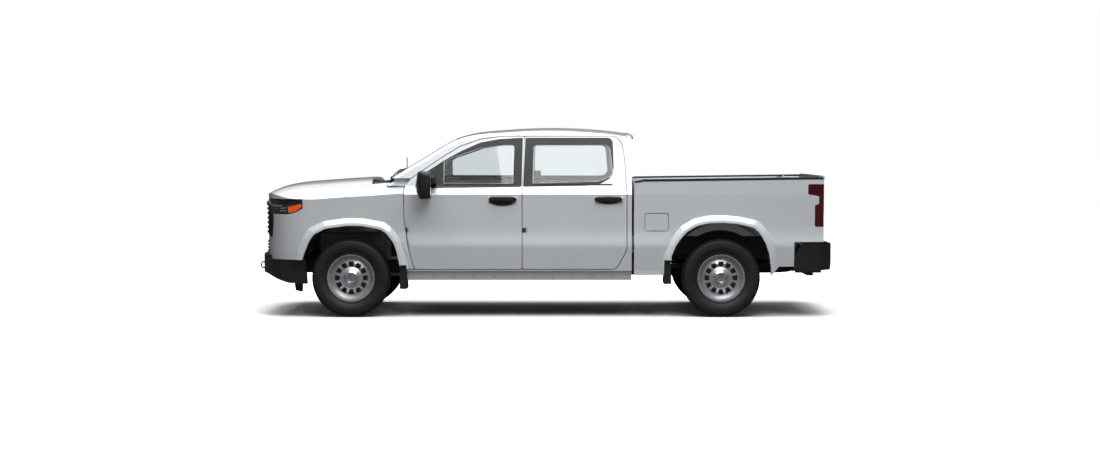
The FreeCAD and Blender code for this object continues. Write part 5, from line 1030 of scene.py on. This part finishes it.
@dataclass
class Mirrors:
    """Outside mirrors: a moulded head on a foot, with its glass."""

    width: float = 0.195
    depth: float = 0.150
    arm_start: float = 0.925
    # The head's sections: shares across it, then how far each pulls back and shrinks
    head: tuple = ((0.0, 0.40, 0.10), (0.04, 0.18, 0.03), (0.18, 0.05, 0.0), (0.55, 0.0, 0.0),
                   (0.85, 0.10, 0.02), (0.96, 0.28, 0.06), (1.0, 0.50, 0.14))

    def build(self, shop: Workshop) -> None:
        """Makes both mirrors in place of the CAD's plain ones."""
        for side, way in SIDES.items():
            door = f"door_front_{side}"
            low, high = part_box(f"mirror_{side}")
            outer, front, foot, top = max(abs(low.y), abs(high.y)), low.x, low.z, high.z
            inner, rear, height = outer - self.width, front + self.depth, top - foot
            sections = []
            for share, pull, shrink in self.head:
                x = front + self.depth * pull
                z0, z1 = foot + height * shrink, top - height * shrink
                waist = z0 + (z1 - z0) * 0.43
                ring = rounded_loop([(rear, z0 + 0.006), (rear, z1 - 0.004), (x + 0.02, z1), (x, waist + 0.03),
                                     (x + 0.010, waist), (x + 0.004, waist - 0.03), (x + 0.035, z0)], 0.022)
                sections.append(placed(ring, (0, way * (inner + self.width * share), 0), AFT))
            head = shop.piece(f"mirror_head_{side}", door, "black_plastic", drawn(loft, sections), smooth=50)
            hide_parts(f"mirror_{side}")
            sections = []
            for share in (0.0, 0.35, 0.7, 1.0):
                y = self.arm_start + (inner + 0.03 - self.arm_start) * share
                lift = 0.018 * (1 - share) ** 2
                under, above = 1.350 - lift, 1.418 + lift
                ring = rounded_loop([(front + 0.055 + 0.02 * share, under), (front + 0.200, under),
                                     (front + 0.185 - 0.02 * share, above), (front + 0.075, above - 0.006)],
                                    0.018)
                sections.append(placed(ring, (0, way * y, 0), AFT))
            shop.piece(f"mirror_arm_{side}", door, "black_plastic", drawn(loft, sections), smooth=50)
            near, far = inner + 0.15 * self.width, outer - 0.10 * self.width
            loop = rounded_loop([(near, foot + 0.08 * height), (far, foot + 0.10 * height),
                                 (far, top - 0.10 * height), (near, top - 0.08 * height)], 0.02)
            shop.piece(f"mirror_glass_{side}", door, "mirror_glass",
                       drawn(patch, loop, flat_end(rear, way), 0.002, 2))


@dataclass
class LoadBed:
    """Rail caps, floor ribs, tie hooks and the tailgate's furniture."""

    cap: float = 0.005
    cap_drop: float = 0.016
    wall_inner: float = 0.838
    post_inner: float = 0.778
    post_length: float = 0.20
    ribs: int = 13
    rib_step: float = 0.096
    gate_rib_step: float = 0.118
    gate_rib_half: float = 0.03
    handle_z: float = 1.29
    bezel: tuple = ((-0.13, 0.13), (1.245, 1.325))
    bezel_rise: float = 0.006
    # The gate handle's sections: shares of half its length, and of its height
    handle_half: float = 0.10
    handle: tuple = ((-1, 0.5), (-0.94, 0.9), (0, 1.0), (0.94, 0.9), (1, 0.5))
    hook_radius: float = 0.005
    hook_z: float = 1.24
    hook_y: float = 0.832
    # A tie hook's points: along, inwards and down
    hook: tuple = ((-0.03, -0.012, 0.0), (-0.03, 0.03, 0.004), (0.0, 0.042, 0.006), (0.03, 0.03, 0.004),
                   (0.03, -0.012, 0.0))

    def build(self, shop: Workshop) -> None:
        """Dresses the bed and the gate."""
        self.caps(shop)
        self.floor(shop)
        self.gate(shop)

    def caps(self, shop: Workshop) -> None:
        """Black caps on the side rails and over the gate."""
        for side, way in SIDES.items():
            low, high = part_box(f"bed_side_{side}")
            skin, sections = shop.skin(f"bed_side_{side}"), []
            for k in range(21):
                x = low.x + 0.004 + (high.x - low.x - 0.012) * k / 20
                z = skin.top(x, way * 0.93)[0].z
                edge = abs(skin.side(way)(x, z - 0.03)[0].y)
                inner = self.wall_inner if x < high.x - self.post_length else self.post_inner
                ring = [(inner - 0.002, z - 0.012), (inner - 0.002, z + self.cap * 0.6),
                        (inner + 0.03, z + self.cap), (edge - 0.03, z + self.cap),
                        (edge + 0.003, z + self.cap * 0.2), (edge + 0.003, z - self.cap_drop)]
                sections.append(placed(ring, (x, 0, 0), RIGHT * way))
            shop.piece(f"rail_cap_{side}", "truck", "black_plastic", drawn(loft, sections), smooth=40)
        low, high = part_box("tailgate")
        ring = [(low.x - 0.002, high.z - 0.030), (low.x - 0.002, high.z - 0.004),
                (low.x + 0.012, high.z + 0.004), (high.x - 0.012, high.z + 0.004),
                (high.x + 0.003, high.z - 0.006), (high.x + 0.003, high.z - 0.022)]
        sections = [placed(ring, (0, y, 0), AFT) for y in (low.y + 0.002, 0.0, high.y - 0.002)]
        shop.piece("gate_cap", "tailgate", "black_plastic", drawn(loft, sections), smooth=40)

    def floor(self, shop: Workshop) -> None:
        """Ribs pressed along the floor and up the front wall, and four tie hooks."""
        low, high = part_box("bed_tub")
        level = shop.skin("bed_tub").top(1.3, 0.0)[0].z
        start = -self.rib_step * (self.ribs - 1) / 2
        for name, half, near, far in (
                ("floor_ribs", 0.024, (low.x + 0.075, level - 0.002), (high.x - 0.03, level + 0.007)),
                ("front_wall_ribs", 0.020, (low.x + 0.055, level + 0.04), (low.x + 0.067, high.z - 0.06))):
            corners = (Vector((x, start + y, z)) for y, (x, z) in ((-half, near), (half, far)))
            shop.piece(name, "truck", "bed_paint", drawn(block, *corners), bevel=0.004,
                       repeat={"count": self.ribs, "step": (0, self.rib_step, 0)})
        mesh = bmesh.new()
        for way in SIDES.values():
            for x in (low.x + 0.16, high.x - 0.16):
                rod(mesh, [(x + along, way * (self.hook_y - inwards), self.hook_z - down)
                           for along, inwards, down in self.hook], self.hook_radius)
        shop.piece("tie_hooks", "truck", "chassis", mesh)

    def gate(self, shop: Workshop) -> None:
        """The outer handle in its bezel, and the ribs inside."""
        low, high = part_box("tailgate")
        skin = shop.skin("tailgate")
        loop = divided(plate(*self.bezel, 0.02), 0.03)
        shop.piece("gate_handle_bezel", "tailgate", "black_plastic",
                   drawn(patch, loop, skin.rear, self.bezel_rise, 3))
        at = skin.rear(0, self.handle_z)[0]
        sections = []
        for share, size in self.handle:
            ring = rounded_loop([(0.0, -0.018 * size), (0.020 * size, -0.012 * size),
                                 (0.024 * size, 0.014 * size), (0.0, 0.020 * size)], 0.006)
            sections.append(placed(ring, at + Vector((0.003, share * self.handle_half, 0)), AFT))
        shop.piece("gate_handle", "tailgate", "black_plastic", drawn(loft, sections))
        start, half = -self.gate_rib_step * (self.ribs - 1) / 2, self.gate_rib_half
        shop.piece("gate_inner_ribs", "tailgate", "bed_paint",
                   drawn(block, Vector((low.x - 0.005, start - half, 0.87)),
                         Vector((low.x + 0.004, start + half, high.z - 0.07))),
                   bevel=0.003, repeat={"count": self.ribs, "step": (0, self.gate_rib_step, 0)})


@dataclass
class Tail:
    """Lamp details, the blank plate, and the pads on the rear bumper."""

    lens_reach: tuple = (0.815, 0.955)
    lens_rise: float = 0.005
    lenses: tuple = (("reverse", "lamp_bright", (1.075, 1.135)), ("brake", "lamp_red", (1.175, 1.325)),
                     ("turn", "lamp_red", (0.930, 1.045)))
    pad: tuple = ((2.66, 0.60), (2.86, 0.60), (2.84, 0.93), (2.66, 0.93))
    pad_rise: float = 0.005
    plate_reach: tuple = ((-0.153, 0.153), (0.540, 0.692))
    plate_rise: float = 0.003
    frame_rise: float = 0.007
    screw: tuple = (0.1, 0.062)
    screw_radius: float = 0.006
    screw_rise: float = 0.004

    def build(self, shop: Workshop) -> None:
        """Dresses the tail."""
        lamps, bumper = shop.skin("tail_lamps"), shop.skin("rear_bumper")
        for side, way in SIDES.items():
            for name, finish, reach in self.lenses:
                loop = divided(plate(self.lens_reach, reach, 0.016), 0.03)
                shop.piece(f"tail_{name}_{side}", "truck", finish,
                           drawn(patch, loop, lambda y, z: lamps.rear(way * y, z), self.lens_rise, 3))
            loop = divided(rounded_loop([(x, way * y) for x, y in self.pad], 0.03), 0.05)
            shop.piece(f"step_pad_{side}", "truck", "tyre", drawn(patch, loop, bumper.top, self.pad_rise, 3))
        at = bumper.rear(0, 0.615)[0]
        loop, flat = plate(*self.plate_reach, 0.012), flat_end(at.x)
        shop.piece("blank_plate", "truck", "bed_paint", drawn(patch, loop, flat, self.plate_rise, 2))
        loops = ringed(grown(loop, 0.012), grown(loop, -0.006), 0.03)
        shop.piece("plate_frame", "truck", "black_plastic", drawn(band, *loops, flat, self.frame_rise))
        mesh = bmesh.new()
        for way in SIDES.values():
            screw = at + Vector((self.plate_rise, way * self.screw[0], self.screw[1]))
            stud(mesh, screw, self.screw_radius, self.screw_rise)
        shop.piece("plate_screws", "truck", "cap_steel", mesh)


@dataclass
class Seat:
    """One seat or bench: a cushion, a back and its head rests."""

    name: str
    node: str
    x: float
    y: float
    half: float
    rests: tuple
    cushion_top: float = 0.900
    lean: float = 0.17
    floor: float = 0.597
    crown: float = 0.03
    rest_crown: float = 0.012
    rest_half: tuple = (0.078, 0.12, 0.042)
    post_aside: float = 0.05
    post_radius: float = 0.006
    # A sewn line's depth and half width, across the pad and along it
    channel: tuple = (0.010, 0.05)
    seam: tuple = (0.008, 0.035)
    seam_at: float = 0.62

    def build(self, shop: Workshop) -> None:
        """Makes the padded pieces and the seat's foot."""
        upright, thick = math.pi / 2, 0.085
        pieces = [self.pad(shop, "cushion", (self.x + 0.25, self.y, self.cushion_top - thick),
                           (0.27, self.half, thick), self.crown, 0.0, 2),
                  self.pad(shop, "back", (self.x + 0.545, self.y, self.cushion_top + 0.17),
                           (0.26, self.half * 0.97, 0.065), self.crown, upright - self.lean, 2)]
        for k, y in enumerate(self.rests):
            pieces.append(self.pad(shop, f"rest_{k}", (self.x + 0.605, y, 1.385), self.rest_half,
                                   self.rest_crown, upright - self.lean * 0.5, 0))
            mesh = bmesh.new()
            for aside in (y - self.post_aside, y + self.post_aside):
                rod(mesh, [(self.x + 0.575, aside, 1.20), (self.x + 0.600, aside, 1.36)], self.post_radius, 8)
            shop.piece(f"{self.name}_posts_{k}", "truck", "cap_steel", mesh)
        foot = drawn(block, Vector((self.x + 0.05, self.y - self.half + 0.05, self.floor)),
                     Vector((self.x + 0.46, self.y + self.half - 0.05, self.cushion_top - 0.15)))
        pieces.append(shop.piece(f"{self.name}_base", "truck", "cabin_plastic", foot, bevel=0.012))
        for piece in pieces:
            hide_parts(self.node)

    def pad(self, shop: Workshop, part: str, centre: tuple, half: tuple, crown: float, tilt: float,
            channels: int) -> bpy.types.Object:
        """A crowned pad whose sides pull in between its corners, with sewn channels.

        Args:
            shop: where it is finished.
            part: its name within the seat.
            centre: its middle.
            half: half its length, width and thickness.
            crown: how far its face swells.
            tilt: turn about the Y axis.
            channels: how many sewn lines run across it.

        Returns:
            The pad.
        """
        mesh, turn = bmesh.new(), Matrix.Rotation(-tilt, 3, "Y")
        bmesh.ops.create_cube(mesh, size=2.0)
        bmesh.ops.subdivide_edges(mesh, edges=mesh.edges[:], cuts=15, use_grid_fill=True)
        half = Vector(half)
        for vert in mesh.verts:
            u, v, w = vert.co
            across = 1 - 0.04 * (1 - v * v) * abs(u) ** 4
            along = 1 - 0.03 * (1 - u * u) * abs(v) ** 4
            rounding = max(abs(u), abs(v)) ** 6 * 0.30
            swell = math.copysign(crown, w) * (1 - u * u) * (1 - v * v) * (0.9 if w > 0 else 0.1)
            height = w * half.z * (1 - rounding) + swell
            if w > 0.5:
                for k in range(channels):
                    line = -0.45 + 0.9 * k / max(1, channels - 1)
                    height -= self.channel[0] * math.exp(-((u - line) / self.channel[1]) ** 2) * (abs(v) < 0.97)
                height -= self.seam[0] * math.exp(-((abs(v) - self.seam_at) / self.seam[1]) ** 2)
            vert.co = Vector(centre) + turn @ Vector((u * half.x * across, v * half.y * along, height))
        made = shop.piece(f"{self.name}_{part}", "truck", "fabric", mesh, smooth=60)
        return made


@dataclass
class Cabin:
    """Seats, and what is on the dashboard and the wheel."""

    seats: tuple = (Seat("driver_seat", "seats_front", -0.70, -0.390, 0.265, (-0.390,)),
                    Seat("passenger_seat", "seats_front", -0.70, 0.390, 0.265, (0.390,)),
                    Seat("rear_bench", "seat_rear", 0.105, 0.0, 0.690, (-0.44, 0.0, 0.44)))
    panels: tuple = (("screen", (-0.13, 0.13), (1.12, 1.25), "gloss_black"),
                     ("cluster", (-0.53, -0.25), (1.13, 1.25), "gloss_black"),
                     ("vent_left", (-0.74, -0.62), (1.14, 1.21), "black_plastic"),
                     ("vent_right", (0.60, 0.74), (1.14, 1.21), "black_plastic"),
                     ("glove_box", (0.20, 0.62), (0.99, 1.09), "cabin_plastic"))
    wheel: tuple = (-0.905, -0.390, 1.150)
    column_slope: float = 25.0
    pad: tuple = ((-0.075, -0.055), (0.075, -0.055), (0.085, 0.05), (-0.085, 0.05))
    pad_rise: float = 0.014
    pad_out: float = 0.018

    def build(self, shop: Workshop) -> None:
        """Fits out the cab."""
        for seat in self.seats:
            seat.build(shop)
        skin = shop.skin("dashboard")
        for name, across, up, finish in self.panels:
            loop = divided(plate(across, up, 0.015), 0.03)
            shop.piece(f"dash_{name}", "truck", finish,
                       drawn(patch, loop, lambda y, z: skin.cast((0.0, y, z), (-1, 0, 0)), 0.006, 3))
        slope = math.radians(self.column_slope)
        out = Vector((math.cos(slope), 0, math.sin(slope)))
        up, centre = RIGHT.cross(out), Vector(self.wheel)

        def seat(u: float, v: float) -> tuple:
            """The wheel's own plane, in front of its hub."""
            return centre + RIGHT * u + up * v + out * self.pad_out, out

        shop.piece("horn_pad", "steering_wheel", "cabin_plastic",
                   drawn(patch, rounded_loop(self.pad, 0.03), seat, self.pad_rise, 4), smooth=60)


@dataclass
class Underside:
    """Brake discs behind the wheels, black sheets of painted shade inside the rear arches, and the rear
    dampers.
    """

    # A disc's section: how far out from the rim's middle, and its radius
    disc: tuple = ((-0.045, 0.034), (-0.045, 0.165), (-0.030, 0.165), (-0.030, 0.085), (0.006, 0.078),
                   (0.006, 0.034), (-0.045, 0.034))
    # Opposite corners of a black sheet of painted shade, standing in for the dark under the bed seen through
    # each rear arch
    panel: tuple = ((1.32, 0.700, 0.62), (2.235, 0.706, 0.96))
    tube_radius: float = 0.026
    shaft_radius: float = 0.012
    # The damper's lower eye, the foot of its tube and the tube's top
    damper: tuple = ((1.80, 0.60, 0.37), (1.86, 0.58, 0.40), (1.93, 0.52, 0.68))

    def build(self, shop: Workshop) -> None:
        """Makes the discs, the sheets of painted shade and the dampers."""
        for axle in AXLES:
            for side, way in SIDES.items():
                low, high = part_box(f"rim_{axle}_{side}")
                shop.piece(f"brake_disc_{axle}_{side}", f"wheel_{axle}_{side}", "brake_iron",
                           drawn(lathe, self.disc, (low + high) / 2, way, 48))
        for side, way in SIDES.items():
            # Painted shade: a black sheet inside the rear arch where only the dark under the bed is seen; no
            # real part stands here
            corners = (Vector((x, way * y, z)) for x, y, z in self.panel)
            shop.piece(f"arch_panel_{side}", "truck", "black_plastic", drawn(block, *corners))
            eye, foot, top = ((x, way * y, z) for x, y, z in self.damper)
            mesh = drawn(rod, [foot, top], self.tube_radius, 16)
            rod(mesh, [eye, foot], self.shaft_radius, 12)
            shop.piece(f"damper_{side}", "truck", "chassis", mesh)


# The stage

@dataclass
class Studio:
    """Pale floor, even light and the camera that took the photograph."""

    camera_x: float = 0.046
    camera_away: float = 21.0
    camera_z: float = 1.74
    focal_px: float = 1984.0
    frame_width: float = 1100.0
    horizon_above: float = 80.0
    floor_size: float = 60.0
    floor_tone: float = 0.93
    bounce_tone: float = 0.12
    shadow_length: float = 2.65
    shadow_width: float = 0.95
    shadow_fade: float = 1.1
    sky_low: float = 0.05
    sky_high: float = 0.55
    # Each lamp's name, size, place, aim and power
    lamps: tuple = (("overhead", 9.0, (0.0, -1.2, 7.5), (0.0, 0.0, 0.6), 930.0),
                    ("side", 5.0, (1.5, -7.0, 8.0), (0.0, 0.0, 0.9), 260.0))

    def build(self) -> None:
        """Sets the stage."""
        self.camera()
        self.floor()
        self.sky()
        self.lights()
        bpy.context.scene.view_settings.view_transform = "Standard"

    def show(self, name: str, data: bpy.types.ID) -> bpy.types.Object:
        """Puts an object in the scene."""
        made = bpy.data.objects.new(name, data)
        bpy.context.scene.collection.objects.link(made)
        return made

    def camera(self) -> None:
        """Looks along +Y, and a little down."""
        data = bpy.data.cameras.new("camera")
        data.lens = data.sensor_width * self.focal_px / self.frame_width
        made = self.show("camera", data)
        made.location = (self.camera_x, -self.camera_away, self.camera_z)
        made.rotation_euler = (math.pi / 2 - math.atan(self.horizon_above / self.focal_px), 0, 0)
        bpy.context.scene.camera = made

    def floor(self) -> None:
        """A matt floor that keeps the truck's shadow and runs out to white, with no horizon."""
        half = self.floor_size / 2
        mesh = bpy.data.meshes.new("floor")
        corners = [(-half, -half, 0), (half, -half, 0), (half, half, 0), (-half, half, 0)]
        mesh.from_pydata(corners, [], [(0, 1, 2, 3)])
        material = bpy.data.materials.new("floor")
        material.use_nodes = True
        tree = material.node_tree
        ray = add_node(tree, "ShaderNodeLightPath").outputs
        bounced = reckon(tree, "MAXIMUM", ray["Is Diffuse Ray"], ray["Is Glossy Ray"])
        tone = add_node(tree, "ShaderNodeMapRange", {"To Min": self.floor_tone, "To Max": self.bounce_tone,
                                                     "Value": bounced}).outputs["Result"]
        channels = {"Red": tone, "Green": tone, "Blue": tone}
        grey = add_node(tree, "ShaderNodeCombineColor", channels).outputs["Color"]
        place = add_node(tree, "ShaderNodeTexCoord").outputs["Object"]
        axes = add_node(tree, "ShaderNodeSeparateXYZ", {"Vector": place}).outputs
        gaps = []
        for axis, reach in (("X", self.shadow_length), ("Y", self.shadow_width)):
            away = reckon(tree, "SUBTRACT", reckon(tree, "ABSOLUTE", axes[axis]), reach)
            gaps.append(reckon(tree, "POWER", reckon(tree, "MAXIMUM", away, 0.0), 2.0))
        far = reckon(tree, "DIVIDE", reckon(tree, "SQRT", reckon(tree, "ADD", *gaps)), self.shadow_fade)
        seen = reckon(tree, "MAXIMUM", ray["Is Camera Ray"], ray["Is Transmission Ray"])
        feed(tree, tree.nodes["Principled BSDF"], {
            "Roughness": 0.9, "Specular IOR Level": 0.1, "Base Color": grey, "Emission Color": (1, 1, 1, 1),
            "Emission Strength": reckon(tree, "MULTIPLY", reckon(tree, "MINIMUM", far, 1.0), seen)})
        mesh.materials.append(material)
        self.show("floor", mesh)

    def sky(self) -> None:
        """A surround that is bright above, dim at the horizon, and white where the camera sees it."""
        world = bpy.data.worlds.new("surround")
        world.use_nodes = True
        tree = world.node_tree
        place = add_node(tree, "ShaderNodeTexCoord").outputs["Generated"]
        height = add_node(tree, "ShaderNodeSeparateXYZ", {"Vector": place}).outputs["Z"]
        glow = add_node(tree, "ShaderNodeMapRange", {"To Min": self.sky_low, "To Max": self.sky_high,
                                                     "Value": height}).outputs["Result"]
        ray = add_node(tree, "ShaderNodeLightPath").outputs
        seen = reckon(tree, "MAXIMUM", ray["Is Camera Ray"], ray["Is Transmission Ray"])
        level = add_node(tree, "ShaderNodeMapRange", {"To Min": glow, "To Max": 1.0, "Value": seen})
        feed(tree, tree.nodes["Background"], {"Color": (1, 1, 1, 1), "Strength": level.outputs["Result"]})
        bpy.context.scene.world = world

    def lights(self) -> None:
        """A wide lamp overhead and a weak one at the side."""
        for name, size, place, aim, watts in self.lamps:
            data = bpy.data.lights.new(name, "AREA")
            data.size, data.energy = size, watts
            lamp = self.show(name, data)
            lamp.location = place
            lamp.rotation_euler = (Vector(aim) - Vector(place)).to_track_quat("-Z", "Y").to_euler()


def main() -> dict:
    """Builds every sub-assembly in order.

    Returns:
        The frame.
    """
    logging.basicConfig(level=logging.INFO, format="%(message)s")
    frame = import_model()
    shop = Workshop(frame)
    shop.dress_nodes()
    for part in (Wheels(), Nose(), CabTrim(), SideWindows(), Doors(), Mirrors(), LoadBed(), Tail(), Cabin(),
                 Underside()):
        part.build(shop)
    Studio().build()
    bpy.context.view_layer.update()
    return frame


if __name__ == "__main__":
    main()
